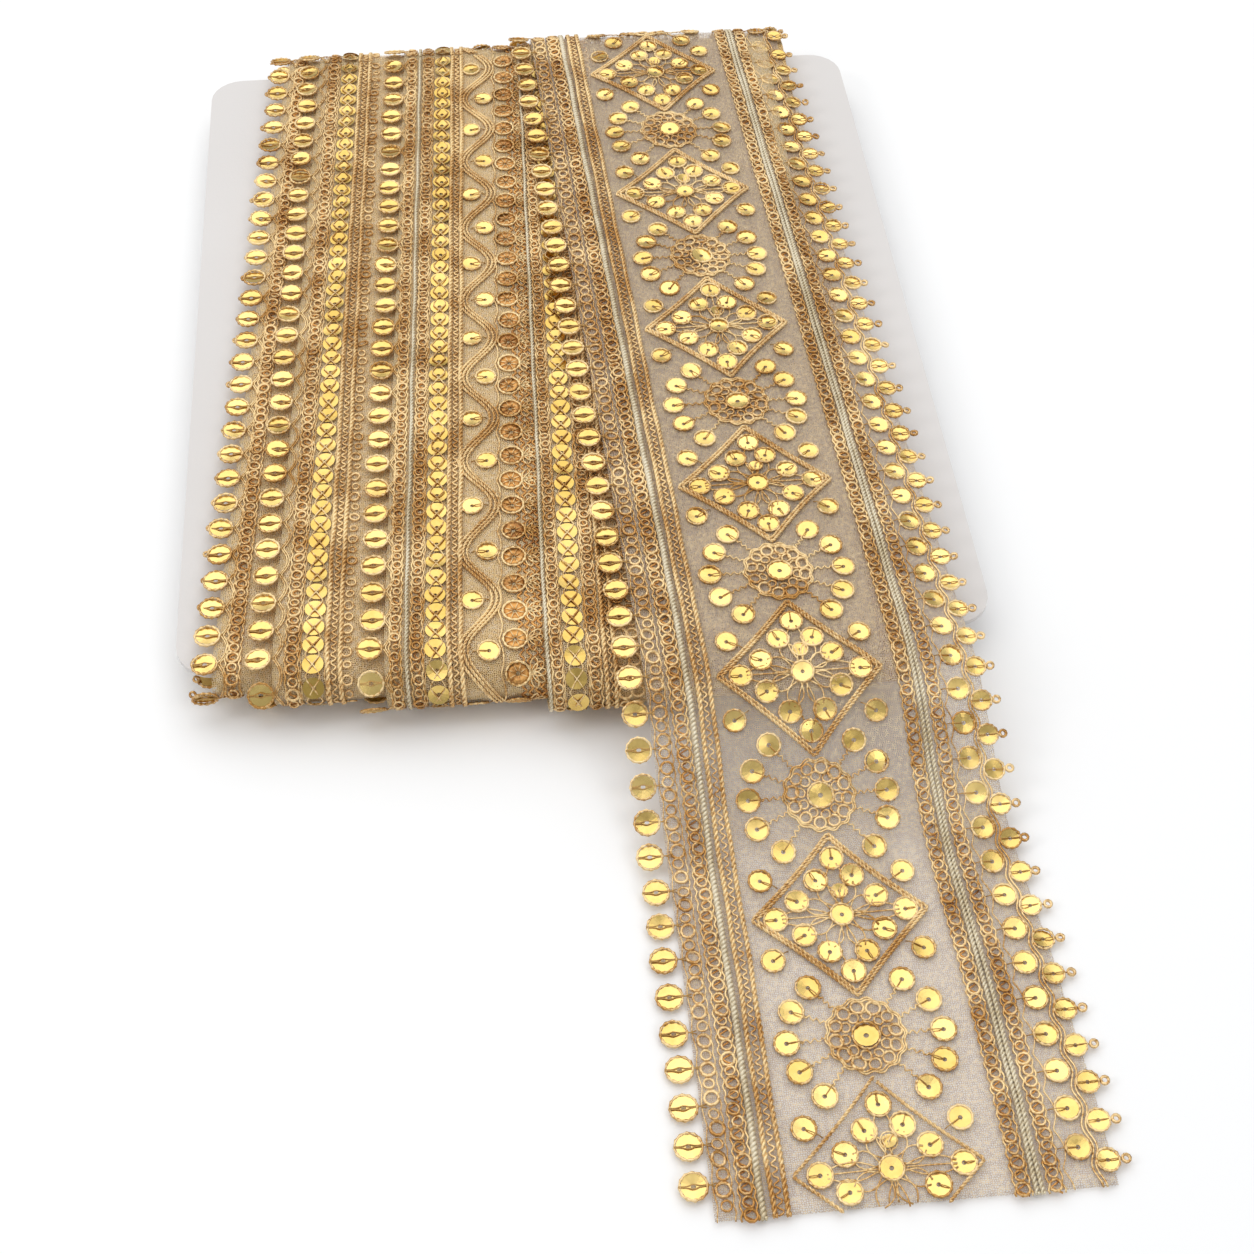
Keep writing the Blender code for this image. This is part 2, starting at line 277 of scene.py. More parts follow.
def loose(u, v, h):
    """Where a point of the loose lace is, in metres."""
    u, v, h = np.broadcast_arrays(np.asarray(u, float), np.asarray(v, float), np.asarray(h, float))
    length = v + loose_first
    y, z, normal_y, normal_z = on_path(loose_path, length)
    place = u - PATTERN_LEFT
    places = np.array(LOOSE_PLACES)[::-1]
    left = np.interp(y, places, LOOSE_LEFT[::-1])
    half_left = np.interp(y, places, LOOSE_HALF_LEFT[::-1])
    half_right = np.interp(y, places, LOOSE_HALF_RIGHT[::-1])
    x = left + half_left + np.where(
        place < 0, place * half_left / PATTERN_LEFT, place * half_right / PATTERN_RIGHT
    )
    under_left = along_card(UNDER_LEFT, y)
    under_x = under_left + u / LACE_WIDTH * (along_card(UNDER_RIGHT, y) - under_left)
    past_fold = (y < CARD_END - 1e-4) & (v > -30)
    top = smooth((z - RISE_FROM) / RISE_OVER + 10 * past_fold)
    x = np.where(v > TOP_V, x, under_x + (x - under_x) * top)
    fade = 1 - smooth((SAG_FADE[0] - y) / (SAG_FADE[0] - SAG_FADE[1]))
    start = smooth((v - START_V) / 16)
    sag = SAG * fade * start * smooth((place - SAG_FROM) / (PATTERN_RIGHT - SAG_FROM))
    height = (h + ripple(u, v) * smooth((v - TOP_V) / 20)) * MM
    return np.stack([x, y + height * normal_y, z + height * normal_z - sag], axis=-1)


# %% [markdown]
# Each wound turn is a ring round the card: along the top, down round the near fold, back underneath
# and up round the far fold. The last turn is only needed where the loose end doesn't lie on it.

# %% The wound turns
def ring_path(turn, closed):
    """The route of one turn's net, from the far end of its top."""
    under = turn["under"] - UNDER_LIFT
    far, near = turn["reach"]
    points = []
    if not closed:
        for t in np.linspace(0, math.pi / 2, FOLD_STEPS)[:-1]:
            z = CARD_MID + turn["over"][0] * math.sin(t)
            points.append((CARD_END + far * math.cos(t), z))
    for y in np.linspace(CARD_END, -CARD_END, 41):
        points.append((y, CARD_MID + float(along_card(turn["over"], y))))
    for t in np.linspace(math.pi / 2, -math.pi / 2, 2 * FOLD_STEPS)[1:]:
        depth = turn["over"][1] if t > 0 else under
        points.append((-CARD_END - near * math.cos(t), CARD_MID + depth * math.sin(t)))
    if closed:
        for y in np.linspace(-CARD_END, CARD_END, 41)[1:]:
            points.append((y, CARD_MID - under))
        for t in np.linspace(-math.pi / 2, math.pi / 2, 2 * FOLD_STEPS)[1:]:
            depth = turn["over"][0] if t > 0 else under
            points.append((CARD_END + far * math.cos(t), CARD_MID + depth * math.sin(t)))
    return path_of(points)


def turn_surface(number):
    """The function that places points of one wound turn, and the length of its lace."""
    turn = TURNS[number]
    closed = number < len(TURNS) - 1
    path = ring_path(turn, closed)
    length = float(path[2][-1])

    def place(u, v, h):
        u, v, h = np.broadcast_arrays(np.asarray(u, float), np.asarray(v, float), np.asarray(h, float))
        at = np.mod(v, length) if closed else v
        y, z, normal_y, normal_z = on_path(path, at)
        x = along_card(turn["left"], y) + u * MM
        height = h * MM
        return np.stack([x, y + height * normal_y, z + height * normal_z], axis=-1)

    return place, length


turn_places = [turn_surface(number) for number in range(len(TURNS))]
print("turn lengths", [round(length) for place, length in turn_places], "mm")

# %% [markdown]
# Thousands of small pieces would slow Blender down as objects, so each finish is gathered into a few
# joined meshes. A Stock holds points and faces until they become one mesh. A tube follows a line of
# points, its sides squared to the lace under it.

# %% Joined meshes
class Stock:
    """Points and faces gathered for one joined mesh."""

    def __init__(self):
        self.points = []
        self.quads = []
        self.tris = []
        self.shades = []
        self.count = 0

    def add(self, points, quads, tris, shades):
        self.points.append(points)
        self.quads.append(quads + self.count)
        if len(tris):
            self.tris.append(tris + self.count)
        self.shades.append(shades)
        self.count += len(points)


def joined(name, stock, finish, flat_faces=False):
    """One object from a stock, riding on the root body."""
    points = np.concatenate(stock.points)
    quads = np.concatenate(stock.quads)
    tris = np.concatenate(stock.tris) if stock.tris else np.zeros((0, 3), int)
    corners = np.concatenate([quads.ravel(), tris.ravel()]).astype(np.int32)
    starts = np.arange(len(quads)) * 4
    starts = np.concatenate([starts, len(quads) * 4 + np.arange(len(tris)) * 3]).astype(np.int32)
    mesh = bpy.data.meshes.new(name)
    mesh.vertices.add(len(points))
    mesh.vertices.foreach_set("co", points.astype(np.float32).ravel())
    mesh.loops.add(len(corners))
    mesh.loops.foreach_set("vertex_index", corners)
    mesh.polygons.add(len(starts))
    mesh.polygons.foreach_set("loop_start", starts)
    mesh.update(calc_edges=True)
    shade = mesh.attributes.new("shade", "FLOAT", "POINT")
    shade.data.foreach_set("value", np.concatenate(stock.shades).astype(np.float32))
    mesh.polygons.foreach_set("use_smooth", np.full(len(starts), not flat_faces))
    mesh.materials.append(finish)
    made = shown(name, mesh)
    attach(made, "root")
    print(name, len(quads) * 2 + len(tris), "triangles")


def unit(vectors):
    return vectors / np.maximum(np.linalg.norm(vectors, axis=-1, keepdims=True), 1e-12)


def tube(stock, centre, up, radius, closed=False, shade=0.5, sides=4):
    """A tube along these points. up is the direction away from the lace at each."""
    if closed:
        ahead = np.roll(centre, -1, axis=0) - np.roll(centre, 1, axis=0)
    else:
        ahead = np.gradient(centre, axis=0)
    ahead = unit(ahead)
    side = unit(np.cross(up, ahead))
    rise = np.cross(ahead, side)
    angles = 2 * np.pi * (np.arange(sides) + 0.5) / sides
    rim = side[:, None] * np.cos(angles)[None, :, None] + rise[:, None] * np.sin(angles)[None, :, None]
    radius = np.broadcast_to(np.asarray(radius, float), (len(centre),))
    points = (centre[:, None] + rim * radius[:, None, None]).reshape(-1, 3)
    rows = len(centre)
    last = rows if closed else rows - 1
    i = np.arange(last)[:, None]
    j = np.arange(sides)[None, :]
    after = (i + 1) % rows
    beside = (j + 1) % sides
    here = np.broadcast_to(i * sides, (last, sides))
    quads = np.stack([
        here + j, here + beside, after * sides + beside, after * sides + j
    ], axis=-1).reshape(-1, 4)
    tris = np.zeros((0, 3), int)
    if not closed:
        fan = np.array([(0, k + 1, k) for k in range(1, sides - 1)])
        tris = np.concatenate([fan, (rows - 1) * sides + fan[:, ::-1]])
    stock.add(points, quads, tris, np.full(len(points), shade))


# %% [markdown]
# A thread is drawn as a line of (u, v) places. It is cut where it would leave the lace, spaced evenly
# and carried to the lace's surface. A cord is two strands wound round each other, which is what makes
# the small slanting highlights on real cord.

# %% Threads and cords
STEPS_A_TWIST = 6


def spaced(line, step, closed=False):
    """The line's points again, evenly spaced about a step apart."""
    line = np.asarray(line, float)
    if closed:
        line = np.vstack([line, line[:1]])
    lengths = np.concatenate([[0], np.cumsum(np.linalg.norm(np.diff(line, axis=0), axis=1))])
    count = max(2, int(round(lengths[-1] / step)) + (0 if closed else 1))
    marks = np.linspace(0, lengths[-1], count, endpoint=not closed)
    return np.stack([np.interp(marks, lengths, column) for column in line.T], axis=1), lengths[-1]


def lifted(place, line, height):
    """Places of a line's points on the lace, and the lace's outward direction there."""
    centre = place(line[:, 0], line[:, 1], height)
    above = place(line[:, 0], line[:, 1], height + 1.0)
    return centre, unit(above - centre)


def inside_cut(line, low, high):
    """The longest run of points between two places along the lace."""
    keep = (line[:, 1] >= low) & (line[:, 1] <= high)
    if keep.all():
        return line, True
    marks = np.flatnonzero(np.diff(np.concatenate([[0], keep.astype(int), [0]])))
    if not len(marks):
        return line[:0], False
    starts, ends = marks[::2], marks[1::2]
    best = int(np.argmax(ends - starts))
    return line[starts[best]:ends[best]], False


def thread(stock, lace, line, height, radius, step=0.8, closed=False):
    """A single thread on the lace."""
    place, low, high = lace
    line, length = spaced(line, step, closed)
    line, whole = inside_cut(line, low, high)
    if len(line) < 2:
        return
    height = np.broadcast_to(np.asarray(height, float), (len(line),))
    centre, up = lifted(place, line, height)
    tube(stock, centre, up, radius * MM, closed and whole)


def cord(stock, lace, line, height, strand, pitch=2.0, closed=False):
    """A cord of two strands wound round each other."""
    place, low, high = lace
    line, length = spaced(line, pitch / STEPS_A_TWIST, closed)
    turns = max(1, round(length / pitch))
    total = len(line)
    phase = 2 * np.pi * turns * np.arange(total) / total
    cut, whole = inside_cut(np.column_stack([line, phase]), low, high)
    if len(cut) < 3:
        return
    centre, up = lifted(place, cut[:, :2], height)
    closed = closed and whole
    if closed:
        ahead = unit(np.roll(centre, -1, axis=0) - np.roll(centre, 1, axis=0))
    else:
        ahead = unit(np.gradient(centre, axis=0))
    side = unit(np.cross(up, ahead))
    offset = strand * 0.92 * MM
    for half_turn in (0, np.pi):
        spin = cut[:, 2] + half_turn
        out = side * np.cos(spin)[:, None] + up * np.sin(spin)[:, None] * 0.8
        tube(stock, centre + out * offset, up, strand * MM, closed)


# %% [markdown]
# Sequins, rings and picots are all the same thing many times over, so one template of each is made
# and placed with arrays. A sequin is a thin cupped disc with a hole. Its facets are left flat, because
# each then catches the light on its own and gives the bright sectors that sequins show.

# %% Sequins and rings
HOLE = 0.21
SEQUIN_SIDES = 14
dice = np.random.default_rng(20)


def revolved(profile, sides):
    """Points and faces of a closed profile (radius, height) turned round the upright axis."""
    profile = np.array(profile, float)
    angles = 2 * np.pi * np.arange(sides) / sides
    ring = np.stack([np.cos(angles), np.sin(angles), np.zeros(sides)], axis=1)
    points = profile[:, 0][:, None, None] * ring[None] + profile[:, 1][:, None, None] * np.array([0, 0, 1])
    i = np.arange(len(profile))[:, None]
    j = np.arange(sides)[None, :]
    after = (i + 1) % len(profile)
    beside = (j + 1) % sides
    quads = np.stack(np.broadcast_arrays(
        i * sides + j, i * sides + beside, after * sides + beside, after * sides + j
    ), axis=-1).reshape(-1, 4)
    return points.reshape(-1, 3), quads


sequin_form = revolved(
    [(1.0, 0.085), (0.60, 0.04), (HOLE, 0.0), (HOLE, -0.03), (0.98, 0.055)], SEQUIN_SIDES
)


def wire_ring(wire, segments, sides=4):
    """A ring of radius 1 with wire this thick."""
    turn = 2 * np.pi * (np.arange(sides) + 0.5) / sides
    profile = [(1 + wire * math.cos(t), wire * math.sin(t)) for t in turn[::-1]]
    return revolved(profile[::-1], segments)


def beaded_ring(wire, beads):
    """A ring with a bumpy wire, as buttonhole stitches over a thread look."""
    points, quads = wire_ring(wire, beads * 2)
    ring = points.reshape(4, beads * 2, 3)
    swell = np.where(np.arange(beads * 2) % 2, 0.62, 1.18)
    centre = ring.mean(axis=0)
    ring = centre + (ring - centre) * swell[None, :, None]
    return ring.reshape(-1, 3), quads


RIM_WIRE = 0.135
rim_form = beaded_ring(RIM_WIRE, 12)
link_form = wire_ring(0.27, 10)
picot_form = wire_ring(0.48, 10)


def placed(stock, lace, form, centres, radius, height, tilt, shade=(0.3, 0.7)):
    """The form at each (u, v) centre, at its radius in millimetres, each a little tilted."""
    place, low, high = lace
    centres = np.atleast_2d(np.asarray(centres, float))
    radius = np.broadcast_to(np.asarray(radius, float), (len(centres),))
    keep = (centres[:, 1] - 0.6 * radius > low) & (centres[:, 1] + 0.6 * radius < high)
    leans = dice.normal(0, 1, (len(centres), 2)) * tilt
    shades = dice.uniform(*shade, len(centres))
    centres, radius, leans, shades = centres[keep], radius[keep], leans[keep], shades[keep]
    if not len(centres):
        return
    middle = place(centres[:, 0], centres[:, 1], height)
    beside = place(centres[:, 0] + 1.0, centres[:, 1], height)
    before = place(centres[:, 0], centres[:, 1] - 1.0, height)
    right = unit(beside - middle)
    normal = unit(np.cross(right, before - middle))
    normal = unit(normal + right * leans[:, :1] + np.cross(normal, right) * leans[:, 1:])
    forward = unit(np.cross(normal, right))
    right = np.cross(forward, normal)
    points, quads = form
    local = points[None] * (radius * MM)[:, None, None]
    world_points = middle[:, None] + local[..., :1] * right[:, None]
    world_points = world_points + local[..., 1:2] * forward[:, None]
    world_points = world_points + local[..., 2:] * normal[:, None]
    shift = np.arange(len(centres))[:, None, None] * len(points)
    faces = (quads[None] + shift).reshape(-1, 4)
    shades = np.repeat(shades, len(points))
    stock.add(world_points.reshape(-1, 3), faces, np.zeros((0, 3), int), shades)


# %% [markdown]
# The stocks, one for each finish on each part of the lace, and how a single sewn-on sequin is made:
# the disc, the ring of stitches round it, and a stitch that goes through its hole.

# %% Stocks and sewn sequins
KINDS = ("sequins", "rims", "stitches", "gold_cords", "pale_cords", "orange_threads", "links")
loose_stock = {kind: Stock() for kind in KINDS}
wound_stock = {kind: Stock() for kind in KINDS}
NET_TOP = 0.62
TURN_NET_TOP = 0.15
DISC_LIFT = 0.20
RIM_LIFT = 0.40
DISC_SHARE = 0.83
RIM_SHARE = 0.90
STITCH = 0.13


def sewn(stocks, lace, base, centres, diameter, ringed=True, tilt=0.10, shade=(0.25, 0.8)):
    """Sequins sewn down at these centres, each with its ring of stitches if it has one."""
    radius = diameter / 2
    disc = radius * (DISC_SHARE if ringed else 1.0)
    placed(stocks["sequins"], lace, sequin_form, centres, disc, base + DISC_LIFT, tilt, shade)
    if ringed:
        placed(stocks["rims"], lace, rim_form, centres, radius * RIM_SHARE, base + RIM_LIFT, tilt * 0.5)


def stitch(stocks, lace, base, start, end, radius=STITCH, lift=0.55):
    """A short stitch from one place to another that rises over what it holds."""
    start, end = np.asarray(start, float), np.asarray(end, float)
    share = np.linspace(0, 1, 5)[:, None]
    line = start + (end - start) * share
    height = base + 0.1 + lift * np.sin(np.pi * share[:, 0]) ** 0.6
    place, low, high = lace
    if line[:, 1].min() < low or line[:, 1].max() > high:
        return
    centre, up = lifted(place, line, height)
    tube(stocks["stitches"], centre, up, radius * MM)


def through_stitch(stocks, lace, base, centre, radius, reach):
    """Two threads across a sequin that part round its hole and run on to the chain beside it."""
    place, low, high = lace
    at_u, at_v = centre
    for gap in (-1, 1):
        share = np.linspace(-radius, reach, 12)
        bow = gap * (0.10 + 0.34 * np.exp(-(share / 0.75) ** 2))
        crossing = np.clip((share - radius) / max(reach - radius, 0.1), 0, 1)
        bow = bow * (1 - 2 * crossing) - gap * 0.25 * crossing
        line = np.column_stack([at_u + share, at_v + bow])
        if line[:, 1].min() < low or line[:, 1].max() > high:
            continue
        height = base + 0.36 + 0.20 * np.clip(np.abs(share) / radius, 0, 1) ** 2
        height = height - 0.25 * crossing
        centre_line, up = lifted(place, line, height)
        tube(stocks["stitches"], centre_line, up, STITCH * MM, False, 0.4)


def straight(u, low, high, wobble=0.12, seed=0):
    """A line along the lace at u, a little unsteady as machine-laid cord is."""
    v = np.arange(low, high + 0.5, 1.0)
    wave = np.sin(0.31 * v + seed) + np.sin(0.117 * v + 2.1 * seed + 1)
    return np.column_stack([u + wobble * 0.5 * wave, v])


def zigzag(u, reach, pitch, low, high, phase=0.0):
    """A pointed line that swings by reach to each side of u."""
    v = np.arange(low, high, pitch / 4)
    swing = 2 * np.abs(2 * ((v / pitch + phase) % 1) - 1) - 1
    return np.column_stack([u + reach * swing, v])


# %% [markdown]
# Now the columns that run along the lace. Machine embroidery builds them from a few sorts of line:
# chains of round links, ladders with two rails and links between, thick cords and pointed threads.

# %% Columns along the lace
def link_chain(stocks, lace, base, u, low, high, radius, pitch):
    """Round links in a row, large and small by turns."""
    v = np.arange(low + pitch / 2, high, pitch)
    v = v + dice.normal(0, 0.12, len(v))
    size = radius * np.where(np.arange(len(v)) % 2, 0.82, 1.05) * dice.uniform(0.92, 1.06, len(v))
    side = dice.normal(0, 0.12, len(v))
    centres = np.column_stack([u + side, v])
    placed(stocks["links"], lace, link_form, centres, size, base + 0.30, 0.12)


def ladder(stocks, lace, base, u, width, low, high, pitch=2.4):
    """Two rails with links and pointed threads between."""
    half_width = width / 2
    for side in (-1, 1):
        rail = zigzag(u + side * (half_width - 0.35), 0.32, pitch, low, high, 0.25 * side)
        thread(stocks["rims"], lace, rail, base + 0.30, 0.22, step=0.6)
    between = zigzag(u, half_width - 0.5, pitch, low, high)
    thread(stocks["orange_threads"], lace, between, base + 0.15, 0.20, 0.6)
    link_chain(stocks, lace, base + 0.1, u, low, high, half_width * 0.66, pitch)


def cord_pair(stocks, lace, base, u, width, low, high):
    """Two thick cords with a filled chain between them."""
    for side, seed in ((-1, 1.0), (1, 4.0)):
        line = straight(u + side * (width / 2 - 0.45), low, high, 0.15, seed)
        cord(stocks["gold_cords"], lace, line, base + 0.48, 0.33, 2.4)
    between = zigzag(u, width / 2 - 0.8, 1.9, low, high)
    thread(stocks["links"], lace, between, base + 0.3, 0.22, 0.5)


def packed_column(stocks, lace, base, u, low, high, diameter, pitch=4.6):
    """Sequins close together in a row, with two threads that cross over them."""
    count = int((high - low) / pitch)
    v = low + (np.arange(count) + 0.5) * (high - low) / count
    centres = np.column_stack([np.full(count, u) + dice.normal(0, 0.08, count), v])
    # These sequins take only the darker foil tones: painted dullness, standing in for the lamp's
    # reflection that they miss as they lie flat.
    sewn(stocks, lace, base + 0.1, centres, diameter, False, 0.06, (0.05, 0.45))
    reach = diameter / 2 + 0.15
    for side in (-1, 1):
        line = zigzag(u, reach - 0.4, 2 * pitch, low, high, 0.25 if side < 0 else 0.75)
        thread(stocks["rims"], lace, line, base + 0.60, 0.16, 1.2)
        edge = zigzag(u + side * (reach + 0.1), 0.25, pitch, low, high)
        thread(stocks["rims"], lace, edge, base + 0.2, 0.17, 0.9)


# %% [markdown]
# The edges. On the left, ringed sequins stand clear of the net, each tied to the first chain by a
# stitch. On the right there are two rows, with a waving double thread between them and a picot loop
# outside each sequin of the outer row.

# %% Edges of the loose end
SCALLOP = 7.246
LEFT_PHASE = 25.0
INNER_PHASE = LEFT_PHASE - 1.0
OUTER_PHASE = LEFT_PHASE + 1.7
LEFT_U = 2.9
INNER_U = 70.9
OUTER_U = 75.7
PICOT_U = 79.0
loose_lace = (loose, UNDER_V, CUT_V)


def every_scallop(phase, low, high):
    """Places along the lace of one row's sequins."""
    first = math.ceil((low + 2.0 - phase) / SCALLOP)
    last = math.floor((high - 1.5 - phase) / SCALLOP)
    return phase + SCALLOP * np.arange(first, last + 1)


def left_edge(stocks, lace, base, v):
    u = LEFT_U + dice.normal(0, 0.12, len(v))
    v = v + dice.normal(0, 0.12, len(v))
    sewn(stocks, lace, base, np.column_stack([u, v]), 5.5, True, 0.07, (0.35, 1.0))
    for place_u, place_v in zip(u, v):
        through_stitch(stocks, lace, base, (place_u, place_v), 2.6, 7.0 - place_u)


def scallop_thread(stocks, lace, base, u, depth, phase, low, high):
    """A thread that bows towards each sequin of a row."""
    v = np.arange(low, high, 0.45)
    bow = np.abs(np.cos(np.pi * (v - phase) / SCALLOP))
    thread(stocks["rims"], lace, np.column_stack([u + depth * bow, v]), base + 0.2, 0.15, 0.6)


def right_edge(stocks, lace, base, low, high):
    inner = every_scallop(INNER_PHASE, low, high)
    outer = every_scallop(OUTER_PHASE, low, high)
    inner_u = INNER_U + dice.normal(0, 0.12, len(inner))
    outer_u = OUTER_U + dice.normal(0, 0.10, len(outer))
    sewn(stocks, lace, base, np.column_stack([inner_u, inner]), 5.0, True, 0.07, (0.35, 1.0))
    sewn(stocks, lace, base, np.column_stack([outer_u, outer]), 4.6, True, 0.07, (0.35, 1.0))
    picots = np.column_stack([PICOT_U + dice.normal(0, 0.08, len(outer)), outer])
    placed(stocks["links"], lace, picot_form, picots, 0.70, base + 0.3, 0.12)
    scallop_thread(stocks, lace, base, 67.4, 1.2, INNER_PHASE, low, high)
    v = np.arange(low, high, 0.5)
    for gap in (-0.35, 0.35):
        wave = 73.5 + gap + 0.55 * np.cos(2 * np.pi * (v - INNER_PHASE) / SCALLOP)
        thread(stocks["rims"], lace, np.column_stack([wave, v]), base + 0.25, 0.22, 0.7)
    for u, v_at in zip(inner_u, inner):
        stitch(stocks, lace, base, (u, v_at), (67.2, v_at), 0.12)
    for u, v_at in zip(outer_u, outer):
        stitch(stocks, lace, base, (u, v_at), (78.3, v_at), 0.12)
        stitch(stocks, lace, base, (u, v_at), (73.4, v_at), 0.12)


left_edge(loose_stock, loose_lace, NET_TOP, every_scallop(LEFT_PHASE, UNDER_V, CUT_V))
scallop_thread(loose_stock, loose_lace, NET_TOP, 6.7, -0.5, LEFT_PHASE, UNDER_V, CUT_V)
right_edge(loose_stock, loose_lace, NET_TOP, UNDER_V, CUT_V)

# %% [markdown]
# The straight columns of the loose end, from left to right.

# %% Columns of the loose end
link_chain(loose_stock, loose_lace, NET_TOP, 8.05, UNDER_V, CUT_V, 1.25, 2.8)
chain_side = zigzag(9.55, 0.25, 2.8, UNDER_V, CUT_V)
thread(loose_stock["rims"], loose_lace, chain_side, NET_TOP + 0.25, 0.17, 0.7)
ladder(loose_stock, loose_lace, NET_TOP, 11.95, 3.5, UNDER_V, CUT_V)
cord(loose_stock["pale_cords"], loose_lace, straight(14.3, UNDER_V, CUT_V), NET_TOP + 0.30, 0.42, 1.8)
cord_pair(loose_stock, loose_lace, NET_TOP, 17.35, 3.4, UNDER_V, CUT_V)
ladder(loose_stock, loose_lace, NET_TOP, 59.6, 3.4, UNDER_V, CUT_V)
for pale_u in (61.95, 62.95):
    line = straight(pale_u, UNDER_V, CUT_V, 0.12, pale_u)
    cord(loose_stock["pale_cords"], loose_lace, line, NET_TOP + 0.30, 0.30, 1.8)
ladder(loose_stock, loose_lace, NET_TOP, 65.5, 3.3, UNDER_V, CUT_V)

# %% [markdown]
# The middle of the lace carries diamonds and round medallions by turns, 25 mm apart. A diamond is an
# outline of two cords with a ring of sequins inside it, tied to the middle one by threads, and four
# more sequins outside. A medallion is a sequin in a rosette of loops, with ten sequins round it.

# %% Diamonds and medallions
HALF_REPEAT = 25.0
PATTERN_U = PATTERN_LEFT
DIAMOND_SEQUINS = [
    (-0.1, -11.9), (0.0, 12.0), (-12.7, 0.1), (12.7, -0.1), (-3.6, -7.4), (3.5, -7.8), (-7.9, -3.3),
    (7.5, -3.5), (-7.8, 3.6), (7.6, 3.6), (-3.6, 7.9), (3.4, 7.9),
]
DIAMOND_OUTSIDE = [(-14.1, -8.3), (-14.8, 8.7), (14.0, -8.3), (14.7, 8.5)]
MEDALLION_SEQUINS = [
    (-8.9, -10.5), (8.9, -10.5), (-12.8, -5.9), (12.8, -5.9), (-14.4, 0.0), (14.4, 0.0),
    (-13.3, 5.9), (13.3, 5.9), (-9.5, 11.0), (9.5, 11.0),
]


def diamond(stocks, lace, base, centre_v):
    middle = np.array([PATTERN_U, centre_v])
    for grow in (0.0, 0.95):
        corner_u, corner_v = 16.5 + grow, 16.2 + grow
        corners = np.array([(0, -corner_v), (corner_u, 0), (0, corner_v), (-corner_u, 0)])
        line = []
        for k in range(4):
            start, end = corners[k], corners[(k + 1) % 4]
            for share in np.linspace(0.015, 0.985, 9):
                bend = 1 - 0.035 * math.sin(math.pi * share)
                line.append((start + (end - start) * share) * bend)
        cord(stocks["gold_cords"], lace, middle + np.array(line), base + 0.40, 0.22, 1.9, True)
    inside = np.array(DIAMOND_SEQUINS) + dice.normal(0, 0.15, (len(DIAMOND_SEQUINS), 2))
    sewn(stocks, lace, base, middle[None], 4.9, True, 0.08, (0.4, 1.0))
    sewn(stocks, lace, base, middle + inside, 5.0, True, 0.06, (0.3, 1.0))
    sewn(stocks, lace, base, middle + np.array([(0.4, -4.9)]), 3.5, True, 0.2, (0.3, 0.8))
    for offset in inside:
        distance = np.linalg.norm(offset)
        out = offset / distance
        across = np.array([-out[1], out[0]])
        spread = 0.7 if distance > 11 else 0.45
        for side in (-1, 0, 1) if distance > 12.2 else (-1, 1):
            start = middle + out * 2.3 + across * side * 0.3
            end = middle + out * (distance - 1.2) + across * side * spread
            bow = across * side * 1.3
            share = np.linspace(0, 1, 7)[:, None]
            line = start + (end - start) * share + bow * np.sin(np.pi * share)
            thread(stocks["rims"], lace, line, base + 0.32, 0.18, 1.0)
        hook = middle + offset + out * 2.3
        stitch(stocks, lace, base, middle + offset, hook, 0.12, 0.6)
    outside = np.array(DIAMOND_OUTSIDE) + dice.normal(0, 0.2, (4, 2))
    sewn(stocks, lace, base, middle + outside, 4.9, True, 0.06, (0.3, 1.0))
    for offset in outside:
        out = -offset / np.linalg.norm(offset)
        stitch(stocks, lace, base, middle + offset, middle + offset + out * 3.6, 0.12)


def medallion(stocks, lace, base, centre_v):
    middle = np.array([PATTERN_U, centre_v])
    sewn(stocks, lace, base + 0.1, middle[None], 5.7, True, 0.08, (0.4, 1.0))
    turn = dice.uniform(0, 1)
    for count, distance, radius in ((10, 3.95, 0.95), (12, 5.7, 1.25)):
        angles = 2 * np.pi * (np.arange(count) + turn) / count
        ring = np.column_stack([np.cos(angles), np.sin(angles)]) * distance
        sizes = radius * dice.uniform(0.88, 1.08, count)
        placed(stocks["links"], lace, link_form, middle + ring, sizes, base + 0.3, 0.12)
    angles = np.linspace(0, 2 * np.pi, 97)[:-1]
    for grow, shift in ((0.0, 0.0), (0.45, 0.3)):
        out = 6.9 + grow + 0.32 * np.cos(14 * angles + shift)
        line = np.column_stack([np.cos(angles), np.sin(angles)]) * out[:, None]
        thread(stocks["rims"], lace, middle + line, base + 0.36, 0.22, 0.5, closed=True)
    around = np.array(MEDALLION_SEQUINS) + dice.normal(0, 0.18, (len(MEDALLION_SEQUINS), 2))
    sewn(stocks, lace, base, middle + around, 5.1, True, 0.06, (0.3, 1.0))
    for offset in around:
        distance = np.linalg.norm(offset)
        out = offset / distance
        across = np.array([-out[1], out[0]])
        share = np.linspace(0, 1, 8)
        swing = 0.55 * (np.arange(8) % 2 * 2 - 1)
        line = middle + out * (7.2 + (distance - 9.2) * share)[:, None] + across * swing[:, None]
        thread(stocks["rims"], lace, line, base + 0.3, 0.18, 0.8)
        stitch(stocks, lace, base, middle + offset, middle + offset - out * 3.2, 0.12)


first_motif = math.ceil((UNDER_V + 6) / HALF_REPEAT)
last_motif = math.floor((CUT_V + 12) / HALF_REPEAT)
for number in range(first_motif, last_motif + 1):
    if number % 2:
        medallion(loose_stock, loose_lace, NET_TOP, number * HALF_REPEAT)
    else:
        diamond(loose_stock, loose_lace, NET_TOP, number * HALF_REPEAT)
print("motifs on the loose end", last_motif - first_motif + 1)

# %% [markdown]
# The wound turns show the left part of the lace, each until the next turn covers it.

# %% Columns of the wound turns
def turn_lace(number):
    place, length = turn_places[number]
    return (place, -1e-6, length + 1e-6), length


